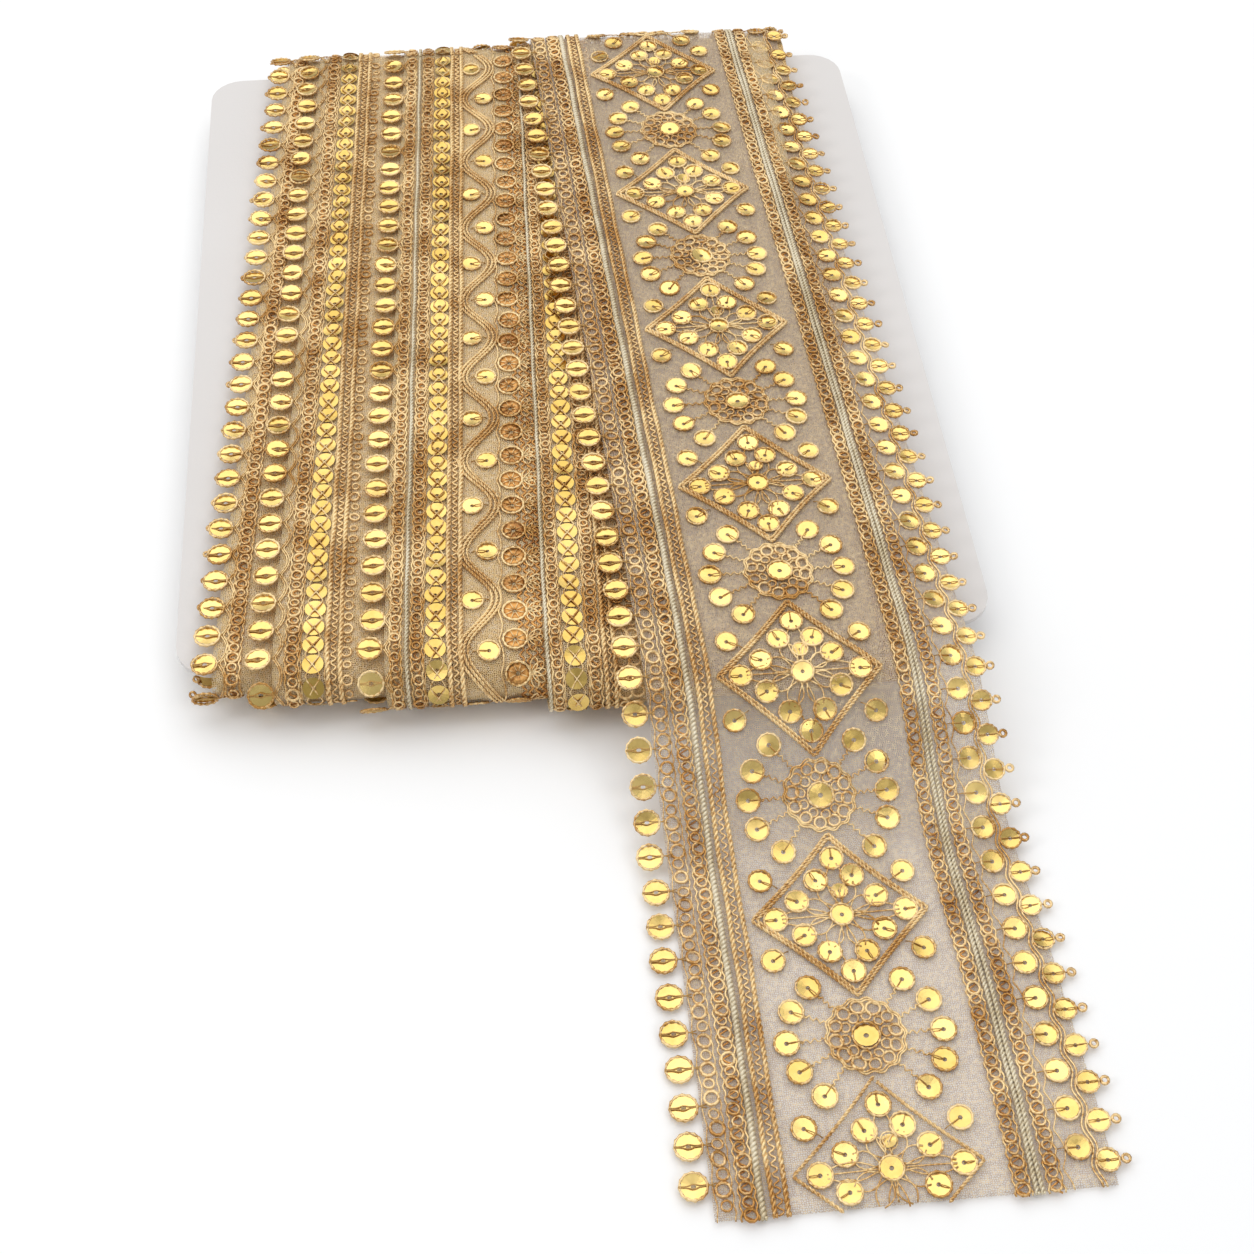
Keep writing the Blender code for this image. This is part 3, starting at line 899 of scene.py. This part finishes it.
def turn_edge(number, edge_u, join_u):
    """The ringed sequins of a wound turn's left edge, and their stitches or loops."""
    lace, length = turn_lace(number)
    count = round(length / SCALLOP)
    pitch = length / count
    v = (np.arange(count) + 0.5) * pitch
    v = v[(v > 2) & (v < length - 2)]
    u = edge_u + dice.normal(0, 0.12, len(v))
    sewn(wound_stock, lace, TURN_NET_TOP, np.column_stack([u, v]), 5.6, True, 0.07, (0.35, 1.0))
    for place_u, place_v in zip(u, v):
        centre = (place_u, place_v)
        through_stitch(wound_stock, lace, TURN_NET_TOP, centre, 2.6, join_u + 0.5 - place_u)
    along = np.arange(0.3, length - 0.3, 0.45)
    bow = np.abs(np.sin(np.pi * (along - v[0]) / pitch))
    for gap in (0.0, 0.45):
        line = np.column_stack([join_u + gap + 1.5 * bow, along])
        thread(wound_stock["rims"], lace, line, TURN_NET_TOP + 0.3, 0.17, 0.6)


def wound_columns(number, parts):
    """The straight columns of one turn. Each part says its kind, its place across and its width."""
    lace, length = turn_lace(number)
    for kind, u, width in parts:
        if kind == "ladder":
            ladder(wound_stock, lace, TURN_NET_TOP, u, width, 0.3, length - 0.3)
        elif kind == "packed":
            packed_column(wound_stock, lace, TURN_NET_TOP, u, 0.3, length - 0.3, width)
        elif kind == "cords":
            cord_pair(wound_stock, lace, TURN_NET_TOP, u, width, 0.3, length - 0.3)
        elif kind == "links":
            link_chain(wound_stock, lace, TURN_NET_TOP, u, 0.3, length - 0.3, width / 2, 3.0)
        elif kind == "pale":
            line = straight(u, 0.3, length - 0.3, 0.15, u)
            cord(wound_stock["pale_cords"], lace, line, TURN_NET_TOP + 0.4, width / 4, 2.0)


turn_edge(0, 4.0, 6.6)
wound_columns(0, [("ladder", 9.6, 3.6)])
first_lace, first_length = turn_lace(0)
outer_v = np.arange(3.0, first_length - 3.0, SCALLOP)
outer_picots = np.column_stack([1.6 + dice.normal(0, 0.25, len(outer_v)), outer_v])
placed(wound_stock["links"], first_lace, picot_form, outer_picots, 0.62, TURN_NET_TOP - 0.3, 0.2)
turn_edge(1, 2.8, 5.6)
wound_columns(1, [
    ("ladder", 9.4, 3.4), ("packed", 13.6, 4.4), ("cords", 17.8, 3.5), ("links", 20.6, 2.0),
])
turn_edge(2, 2.8, 5.2)
wound_columns(2, [
    ("ladder", 7.7, 2.9), ("pale", 9.9, 1.0), ("ladder", 12.0, 3.0), ("packed", 15.9, 4.4),
    ("cords", 19.7, 3.4),
])
wound_columns(3, [
    ("pale", 0.5, 0.9), ("ladder", 2.3, 2.8), ("packed", 6.0, 4.4), ("ladder", 9.9, 3.0),
    ("cords", 13.0, 2.8), ("links", 15.6, 2.8), ("links", 18.0, 2.4),
])

# %% [markdown]
# The third turn also shows a waving cord with a sequin in each bay. Right of it is a row of edge
# sequins worked over with orange thread, with loops that fan out beside each.

# %% Waving cord and star loops
WAVE_U = 25.0
WAVE_REACH = 3.5
WAVE_PERIOD = 26.6
STAR_DISC = 2.3
STAR_RIM = 2.45
STAR_JOIN = 2.9


def waving_cord(number):
    lace, length = turn_lace(number)
    period = length / round(length / WAVE_PERIOD)
    v = np.arange(0.3, length - 0.3, 0.6)
    swing = np.sin(2 * np.pi * v / period)
    for gap, strand in ((-1.0, 0.21), (0.0, 0.21), (0.85, 0.17)):
        line = np.column_stack([WAVE_U + gap + WAVE_REACH * swing, v])
        cord(wound_stock["gold_cords"], lace, line, TURN_NET_TOP + 0.4, strand, 1.9)
    bays = np.arange(int(2 * length / period))
    at = (bays + 0.5) * period / 2
    side = np.where(bays % 2, 1.0, -1.0)
    centres = np.column_stack([WAVE_U + side * 1.6, at])
    sewn(wound_stock, lace, TURN_NET_TOP, centres, 5.0, True, 0.06, (0.3, 1.0))
    for k, (u, v_at) in enumerate(centres):
        stitch(wound_stock, lace, TURN_NET_TOP, (u, v_at), (u - side[k] * 3.4, v_at))


def star_row(number, u, until):
    """Edge sequins worked over with orange thread, and loops that fan out from the stitch beside each."""
    lace, length = turn_lace(number)
    count = round(length / SCALLOP)
    v = (np.arange(count) + 0.5) * length / count
    centres = np.column_stack([np.full(count, u) + dice.normal(0, 0.1, count), v])
    placed(wound_stock["orange_threads"], lace, sequin_form, centres, STAR_DISC, TURN_NET_TOP + 0.2, 0.06)
    placed(wound_stock["rims"], lace, rim_form, centres, STAR_RIM, TURN_NET_TOP + 0.4, 0.04)
    for place_u, place_v in centres:
        middle = np.array([place_u, place_v])
        for angle in np.radians(np.arange(0, 360, 45) + 20):
            out = np.array([math.cos(angle), math.sin(angle)])
            line = middle + out * np.linspace(0.6, 2.0, 3)[:, None]
            thread(wound_stock["rims"], lace, line, TURN_NET_TOP + 0.42, 0.13, 0.7)
        join = middle + np.array([STAR_JOIN, 0.0])
        for angle in np.radians([-75, -38, 0, 38, 75]):
            out = np.array([math.cos(angle), math.sin(angle)])
            across = np.array([-out[1], out[0]])
            share = np.linspace(0, 2 * np.pi, 11)
            loop = join + out * (1.55 * (1 - np.cos(share)))[:, None]
            loop = loop + across * (0.75 * np.sin(share))[:, None]
            loop = loop[loop[:, 0] < until]
            if len(loop) > 3:
                thread(wound_stock["rims"], lace, loop, TURN_NET_TOP + 0.35, 0.18, 0.7)
    for offset in (1.2, 2.6, 4.0, 5.2):
        line = zigzag(u + offset, 0.8, 2.1, 0.3, length - 0.3, 0.2 * offset)
        thread(wound_stock["orange_threads"], lace, line, TURN_NET_TOP + 0.12, 0.26, 0.6)
    scallop_v = np.arange(0.3, length - 0.3, 0.5)
    bow = np.abs(np.cos(np.pi * scallop_v * count / length))
    line = np.column_stack([u - 3.3 + 0.8 * bow, scallop_v])
    thread(wound_stock["rims"], lace, line, TURN_NET_TOP + 0.25, 0.2, 0.7)


waving_cord(2)
star_row(2, 32.0, 38.0)

# %% [markdown]
# The net itself is a thin sheet, one for each turn and one for the loose end. It is made as a closed
# strip, so that its mesh is tidy, and its holes are in its material. Under the turns lies the body of
# the winding, all the layers of lace below the top one, which shows as a dull gold depth.

# %% Nets
NET_BOTTOM = 0.35


def strip(name, place, across, v_marks, low_h, high_h, finish, closed=False):
    """A closed thin sheet over the lace from one height to another, with the pattern as its map."""
    across = np.asarray(across, float)
    rows, columns = len(v_marks), len(across)
    u_grid, v_grid = np.meshgrid(across, v_marks)
    top = place(u_grid, v_grid, high_h).reshape(-1, 3)
    bottom = place(u_grid, v_grid, low_h).reshape(-1, 3)
    points = np.concatenate([top, bottom])
    count = rows * columns
    faces = []
    row_pairs = [(i, (i + 1) % rows) for i in range(rows if closed else rows - 1)]
    for i, after in row_pairs:
        for j in range(columns - 1):
            a, b = i * columns + j, i * columns + j + 1
            c, d = after * columns + j + 1, after * columns + j
            faces.append((a, d, c, b))
            faces.append((count + a, count + b, count + c, count + d))
        first, last = i * columns, i * columns + columns - 1
        first_after, last_after = after * columns, after * columns + columns - 1
        faces.append((first, count + first, count + first_after, first_after))
        faces.append((last, last_after, count + last_after, count + last))
    if not closed:
        for j in range(columns - 1):
            faces.append((j, j + 1, count + j + 1, count + j))
            end = (rows - 1) * columns + j
            faces.append((end, count + end, count + end + 1, end + 1))
    mesh = bpy.data.meshes.new(name)
    mesh.from_pydata(points.tolist(), [], faces)
    pattern = mesh.uv_layers.new(name="pattern")
    flat_u = np.tile(u_grid.ravel(), 2)
    flat_v = np.tile(v_grid.ravel(), 2)
    used = np.zeros(len(mesh.loops), int)
    mesh.loops.foreach_get("vertex_index", used)
    pattern.data.foreach_set("uv", np.column_stack([flat_u[used], flat_v[used]]).ravel() * 0.01)
    mesh.polygons.foreach_set("use_smooth", np.ones(len(mesh.polygons), bool))
    mesh.materials.append(finish)
    made = shown(name, mesh)
    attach(made, "root")
    print(name, len(mesh.polygons) * 2, "triangles")
    return made


# %% [markdown]
# Materials. Two effects are shared. The first gives thread and sequins their small changes of colour
# and gloss: partly tone that differs at random, and partly painted glints and painted dark flecks of
# shade, which its fine noise puts into the colour. net_threads draws the mesh of the net. Each is a
# node group, made once.

# %% Shared effects
def new_group(name, inputs, outputs):
    """An empty shader node group with these sockets, each (name, type, value)."""
    group = bpy.data.node_groups.new(name, "ShaderNodeTree")
    for socket, kind, value in inputs:
        made = group.interface.new_socket(socket, in_out="INPUT", socket_type=kind)
        if value is not None:
            made.default_value = value
    for socket, kind in outputs:
        group.interface.new_socket(socket, in_out="OUTPUT", socket_type=kind)
    return group, group.nodes.new("NodeGroupInput"), group.nodes.new("NodeGroupOutput")


def node(tree, kind, **values):
    """A node of this kind with these settings. Names that are sockets set their values."""
    made = tree.nodes.new(kind)
    for name, value in values.items():
        if hasattr(made, name):
            setattr(made, name, value)
        else:
            made.inputs[name.replace("_", " ")].default_value = value
    return made


def link(source, output, target, socket):
    """Joins one node's output to a socket of another."""
    target.id_data.links.new(source.outputs[output], target.inputs[socket])


COLOUR, NUMBER = "NodeSocketColor", "NodeSocketFloat"

metal_tone_and_glints, into, out = new_group(
    "metal_tone_and_glints",
    [
        ("Bright", COLOUR, (0.9, 0.75, 0.35, 1)), ("Dark", COLOUR, (0.4, 0.25, 0.08, 1)),
        ("Shade", NUMBER, 0.5), ("Grain", NUMBER, 900.0), ("Gloss", NUMBER, 0.3),
        ("Tone_and_glint_contrast", NUMBER, 0.3),
    ],
    [("Colour", COLOUR), ("Roughness", NUMBER), ("Height", NUMBER)],
)
place_node = node(metal_tone_and_glints, "ShaderNodeTexCoord")
# The fine noise also paints bright glints and dark flecks of shade into the colour, along the yarn's twist
# and across each sequin.
fine = node(metal_tone_and_glints, "ShaderNodeTexNoise", Detail=2.0, Roughness=0.6)
broad = node(metal_tone_and_glints, "ShaderNodeTexNoise", Scale=90.0, Detail=1.0)
link(place_node, "Object", fine, "Vector")
link(place_node, "Object", broad, "Vector")
link(into, "Grain", fine, "Scale")
centred = node(metal_tone_and_glints, "ShaderNodeMath", operation="ADD")
link(fine, "Fac", centred, 0)
link(broad, "Fac", centred, 1)
swing = node(metal_tone_and_glints, "ShaderNodeMath", operation="SUBTRACT")
link(centred, 0, swing, 0)
swing.inputs[1].default_value = 1.0
scaled = node(metal_tone_and_glints, "ShaderNodeMath", operation="MULTIPLY")
link(swing, 0, scaled, 0)
link(into, "Tone_and_glint_contrast", scaled, 1)
share = node(metal_tone_and_glints, "ShaderNodeMath", operation="MULTIPLY_ADD", use_clamp=True)
link(scaled, 0, share, 0)
share.inputs[1].default_value = 2.0
link(into, "Shade", share, 2)
mix = node(metal_tone_and_glints, "ShaderNodeMix", data_type="RGBA")
link(share, 0, mix, "Factor")
link(into, "Dark", mix, "A")
link(into, "Bright", mix, "B")
link(mix, "Result", out, "Colour")
gloss = node(metal_tone_and_glints, "ShaderNodeMath", operation="MULTIPLY_ADD", use_clamp=True)
link(scaled, 0, gloss, 0)
gloss.inputs[1].default_value = 0.5
link(into, "Gloss", gloss, 2)
link(gloss, 0, out, "Roughness")
link(fine, "Fac", out, "Height")

net_threads, into, out = new_group(
    "net_threads",
    [("Across", NUMBER, 250.0), ("Thread", NUMBER, 0.12), ("Wander", NUMBER, 0.75)],
    [("Mask", NUMBER), ("Height", NUMBER)],
)
pattern_map = node(net_threads, "ShaderNodeUVMap", uv_map="pattern")
cells = node(net_threads, "ShaderNodeTexVoronoi", voronoi_dimensions="2D", feature="DISTANCE_TO_EDGE")
link(pattern_map, "UV", cells, "Vector")
link(into, "Across", cells, "Scale")
link(into, "Wander", cells, "Randomness")
mask = node(net_threads, "ShaderNodeMath", operation="LESS_THAN")
link(cells, "Distance", mask, 0)
link(into, "Thread", mask, 1)
link(mask, 0, out, "Mask")
rounded = node(net_threads, "ShaderNodeMath", operation="SUBTRACT")
rounded.inputs[0].default_value = 0.5
link(cells, "Distance", rounded, 1)
link(rounded, 0, out, "Height")

# %% [markdown]
# Sequins are bright foil, threads are metallic yarn, duller and rougher, and the pale cord is nearly
# silver. Their colours differ from piece to piece by the shade stored on each mesh. Within a piece,
# the shared effect's fine noise paints glints and dark flecks of shade into the colour.

# %% Metal finishes
def metal_finish(name, bright, dark, grain, gloss_value, tone_and_glint_contrast, metallic, bump):
    made, tree, shader = new_finish(name)
    group = node(tree, "ShaderNodeGroup", node_tree=metal_tone_and_glints)
    values = {"Grain": grain, "Gloss": gloss_value, "Tone_and_glint_contrast": tone_and_glint_contrast}
    for socket, value in values.items():
        group.inputs[socket].default_value = value
    group.inputs["Bright"].default_value = (*bright, 1)
    group.inputs["Dark"].default_value = (*dark, 1)
    shade = node(tree, "ShaderNodeAttribute", attribute_name="shade")
    link(shade, "Fac", group, "Shade")
    link(group, "Colour", shader, "Base Color")
    link(group, "Roughness", shader, "Roughness")
    raised = node(tree, "ShaderNodeBump", Strength=bump, Distance=0.0001)
    link(group, "Height", raised, "Height")
    link(raised, "Normal", shader, "Normal")
    shader.inputs["Metallic"].default_value = metallic
    return made


# The large contrast values of the threads (1.2 to 1.5) make their painted glints and painted flecks of
# shade strong.
FINISHES = {
    "sequins": metal_finish(
        "sequin_foil", (0.95, 0.70, 0.26), (0.60, 0.40, 0.10), 450, 0.26, 0.45, 1.0, 0.35
    ),
    "rims": metal_finish(
        "rim_thread", (1.0, 0.76, 0.40), (0.52, 0.26, 0.06), 1500, 0.34, 1.5, 0.50, 0.9
    ),
    "gold_cords": metal_finish(
        "gold_cord", (1.0, 0.76, 0.40), (0.56, 0.29, 0.08), 1500, 0.34, 1.3, 0.50, 0.9
    ),
    "pale_cords": metal_finish(
        "pale_cord", (0.86, 0.77, 0.58), (0.58, 0.47, 0.29), 1500, 0.40, 1.2, 0.40, 0.8
    ),
    "orange_threads": metal_finish(
        "orange_thread", (0.80, 0.42, 0.12), (0.34, 0.13, 0.025), 1500, 0.40, 1.3, 0.50, 0.9
    ),
    "stitches": metal_finish(
        "stitch_thread", (0.70, 0.44, 0.16), (0.38, 0.20, 0.05), 2500, 0.42, 0.6, 0.50, 0.5
    ),
    "links": metal_finish(
        "link_thread", (1.0, 0.74, 0.38), (0.50, 0.24, 0.055), 1500, 0.34, 1.5, 0.50, 0.9
    ),
}

# %% [markdown]
# The net is sheer: its threads hide about a third of what lies under it. The body of the winding is
# many such nets on top of each other, seen in their own shade, so it is darker and browner.

# %% Net and body finishes
def net_finish(name, colour, thread_share):
    made, tree, shader = new_finish(name)
    mesh_group = node(tree, "ShaderNodeGroup", node_tree=net_threads)
    mesh_group.inputs["Thread"].default_value = thread_share
    # Bright gold specks from a fine noise are mixed into the colour: painted glints, standing in for the
    # sparkle of the net's gold thread.
    glint_specks = node(tree, "ShaderNodeTexNoise", Scale=1300.0, Detail=2.0)
    where = node(tree, "ShaderNodeTexCoord")
    link(where, "Object", glint_specks, "Vector")
    sharp = node(tree, "ShaderNodeMapRange", From_Min=0.45, From_Max=0.62)
    link(glint_specks, "Fac", sharp, "Value")
    mix = node(tree, "ShaderNodeMix", data_type="RGBA")
    mix.inputs["A"].default_value = (*colour, 1)
    mix.inputs["B"].default_value = (0.90, 0.74, 0.50, 1)
    link(sharp, "Result", mix, "Factor")
    link(mix, "Result", shader, "Base Color")
    link(mesh_group, "Mask", shader, "Alpha")
    raised = node(tree, "ShaderNodeBump", Strength=0.3, Distance=0.0001)
    link(mesh_group, "Height", raised, "Height")
    link(raised, "Normal", shader, "Normal")
    shader.inputs["Roughness"].default_value = 0.55
    return made


def body_finish():
    made, tree, shader = new_finish("layers_below")
    mesh_group = node(tree, "ShaderNodeGroup", node_tree=net_threads)
    mesh_group.inputs["Across"].default_value = 170.0
    mesh_group.inputs["Thread"].default_value = 0.16
    mesh_group.inputs["Wander"].default_value = 1.0
    mix = node(tree, "ShaderNodeMix", data_type="RGBA")
    mix.inputs["A"].default_value = (0.36, 0.19, 0.06, 1)
    mix.inputs["B"].default_value = (0.88, 0.63, 0.28, 1)
    link(mesh_group, "Mask", mix, "Factor")
    link(mix, "Result", shader, "Base Color")
    raised = node(tree, "ShaderNodeBump", Strength=0.8, Distance=0.0004)
    link(mesh_group, "Height", raised, "Height")
    link(raised, "Normal", shader, "Normal")
    shader.inputs["Roughness"].default_value = 0.5
    shader.inputs["Metallic"].default_value = 0.35
    return made


net_look = net_finish("net", (0.58, 0.46, 0.37), 0.085)
turn_net_look = net_finish("turn_net", (0.84, 0.63, 0.32), 0.10)
body_look = body_finish()

# %% [markdown]
# Everything is now made into objects: the joined meshes of the loose end and of the wound turns, the
# nets, and the body of the winding, which stands for the solid of the turns.

# %% Objects
NET_LEFT = 5.9
NET_RIGHT = 76.5
TURN_NETS = [(5.5, 20.0), (5.5, 31.0), (5.5, 45.0), (0.0, 68.0)]

for kind in KINDS:
    flat_faces = kind == "sequins"
    joined("loose_" + kind, loose_stock[kind], FINISHES[kind], flat_faces)
    joined("wound_" + kind, wound_stock[kind], FINISHES[kind], flat_faces)

loose_marks = np.arange(UNDER_V + 0.2, CUT_V + 0.8, 2.0)
loose_columns = np.linspace(NET_LEFT, NET_RIGHT, 36)
loose_net = strip("loose_net", loose, loose_columns, loose_marks, NET_BOTTOM, NET_TOP, net_look)
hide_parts("loose_end")
for number, (start, end) in enumerate(TURN_NETS):
    place, length = turn_places[number]
    closed = number < 3
    marks = np.linspace(0, length, 216)
    marks = marks[:-1] if closed else marks
    columns = np.linspace(start, end, max(6, int((end - start) / 2)))
    name = "turn_net_" + str(number + 1)
    net = strip(name, place, columns, marks, -0.05, TURN_NET_TOP, turn_net_look, closed)

# %% [markdown]
# The body of the winding is one closed ring round the card, just under the nets. Its upper side steps
# up from turn to turn, as the layers do.

# %% Body of the winding
BODY_DROP = 0.00035
SLOT = 0.0009
CARD_CLEAR = 0.0003
BODY_LEFT = (6.4, 6.4, 6.4, 1.0)
BODY_RIGHT = (9.0, 22.0, 34.0, 60.0)


def body_profile(number):
    """Heights and reach of the body under one turn."""
    turn = TURNS[number]
    return {
        "over": tuple(value - BODY_DROP for value in turn["over"]),
        "under": turn["under"] - UNDER_LIFT - BODY_DROP,
        "reach": tuple(value - BODY_DROP for value in turn["reach"]),
    }


def body_station(kind, share, shape):
    """Y and Z of the body's outer face at a place round the winding."""
    if kind == "top":
        y = CARD_END - 2 * CARD_END * share
        return y, CARD_MID + float(along_card(shape["over"], y))
    if kind == "under":
        return -CARD_END + 2 * CARD_END * share, CARD_MID - shape["under"]
    near = kind == "near"
    angle = math.pi * (0.5 - share) if near else math.pi * (share - 0.5)
    reach = shape["reach"][1 if near else 0]
    side = -1 if near else 1
    over = float(along_card(shape["over"], side * CARD_END))
    depth = over if angle > 0 else shape["under"]
    return side * (CARD_END + reach * math.cos(angle)), CARD_MID + depth * math.sin(angle)


def body_slot(kind, share):
    """Y and Z of the body's inner face, round the card."""
    end = CARD_END + CARD_CLEAR
    if kind == "top":
        return end - 2 * end * share, CARD_MID + SLOT
    if kind == "under":
        return -end + 2 * end * share, CARD_MID - SLOT
    if kind == "near":
        return -end, CARD_MID + SLOT - 2 * SLOT * share
    return end, CARD_MID - SLOT + 2 * SLOT * share


body_stations = [("top", k / 60) for k in range(60)] + [("near", k / 12) for k in range(12)]
body_stations += [("under", k / 60) for k in range(60)] + [("far", k / 12) for k in range(12)]
body_columns = []
for number, (start, end) in enumerate(zip(BODY_LEFT, BODY_RIGHT)):
    if number:
        body_columns.append((number, start - 0.4, number - 1))
    for offset in np.linspace(start, end, max(3, int(end / 3))):
        body_columns.append((number, float(offset), number))
body_points = []
for kind, share in body_stations:
    row = []
    for turn, offset, lies_on in body_columns:
        y, z = body_station(kind, share, body_profile(lies_on))
        row.append((float(along_card(TURNS[turn]["left"], y)) + offset * MM, y, z))
    y, z = body_station(kind, share, body_profile(3))
    row.append((float(along_card(WOUND_RIGHT, y)), y, z * 0.8 + CARD_MID * 0.2))
    y, z = body_slot(kind, share)
    row.append((float(along_card(WOUND_RIGHT, y)), y, z))
    row.append((float(along_card(TURNS[0]["left"], y)) + BODY_LEFT[0] * MM, y, z))
    body_points.append(row)
body_ring = len(body_points[0])
body_faces = []
for k in range(len(body_stations)):
    here = k * body_ring
    after = (k + 1) % len(body_stations) * body_ring
    for j in range(body_ring):
        beside = (j + 1) % body_ring
        body_faces.append((here + j, after + j, after + beside, here + beside))
body_mesh = bpy.data.meshes.new("winding_body")
body_mesh.from_pydata([point for row in body_points for point in row], [], body_faces)
body_pattern = body_mesh.uv_layers.new(name="pattern")
for corner in body_mesh.loops:
    station, column = divmod(corner.vertex_index, body_ring)
    point = body_points[station][column]
    body_pattern.data[corner.index].uv = (point[0] * 10, station * 0.03)
body_mesh.materials.append(body_look)
winding_body = shown("winding_body", body_mesh)
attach(winding_body, "root")
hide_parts("wound_turns")
print("winding_body", len(body_faces) * 2, "triangles")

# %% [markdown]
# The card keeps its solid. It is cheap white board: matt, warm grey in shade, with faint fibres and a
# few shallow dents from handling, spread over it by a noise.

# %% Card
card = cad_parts["card"]
board, tree, shader = new_finish("white_board")
where = node(tree, "ShaderNodeTexCoord")
cloud = node(tree, "ShaderNodeTexNoise", Scale=18.0, Detail=3.0)
fibre = node(tree, "ShaderNodeTexNoise", Scale=1400.0, Detail=3.0)
dent = node(tree, "ShaderNodeTexNoise", Scale=35.0, Detail=1.5)
for texture in (cloud, fibre, dent):
    link(where, "Object", texture, "Vector")
tone = node(tree, "ShaderNodeMix", data_type="RGBA")
tone.inputs["A"].default_value = (0.68, 0.65, 0.63, 1)
tone.inputs["B"].default_value = (0.75, 0.725, 0.71, 1)
link(cloud, "Fac", tone, "Factor")
link(tone, "Result", shader, "Base Color")
fibre_bump = node(tree, "ShaderNodeBump", Strength=0.25, Distance=0.0001)
dent_bump = node(tree, "ShaderNodeBump", Strength=0.35, Distance=0.0008)
link(fibre, "Fac", fibre_bump, "Height")
link(dent, "Fac", dent_bump, "Height")
link(fibre_bump, "Normal", dent_bump, "Normal")
link(dent_bump, "Normal", shader, "Normal")
shader.inputs["Roughness"].default_value = 0.75
card.data.materials.clear()
card.data.materials.append(board)
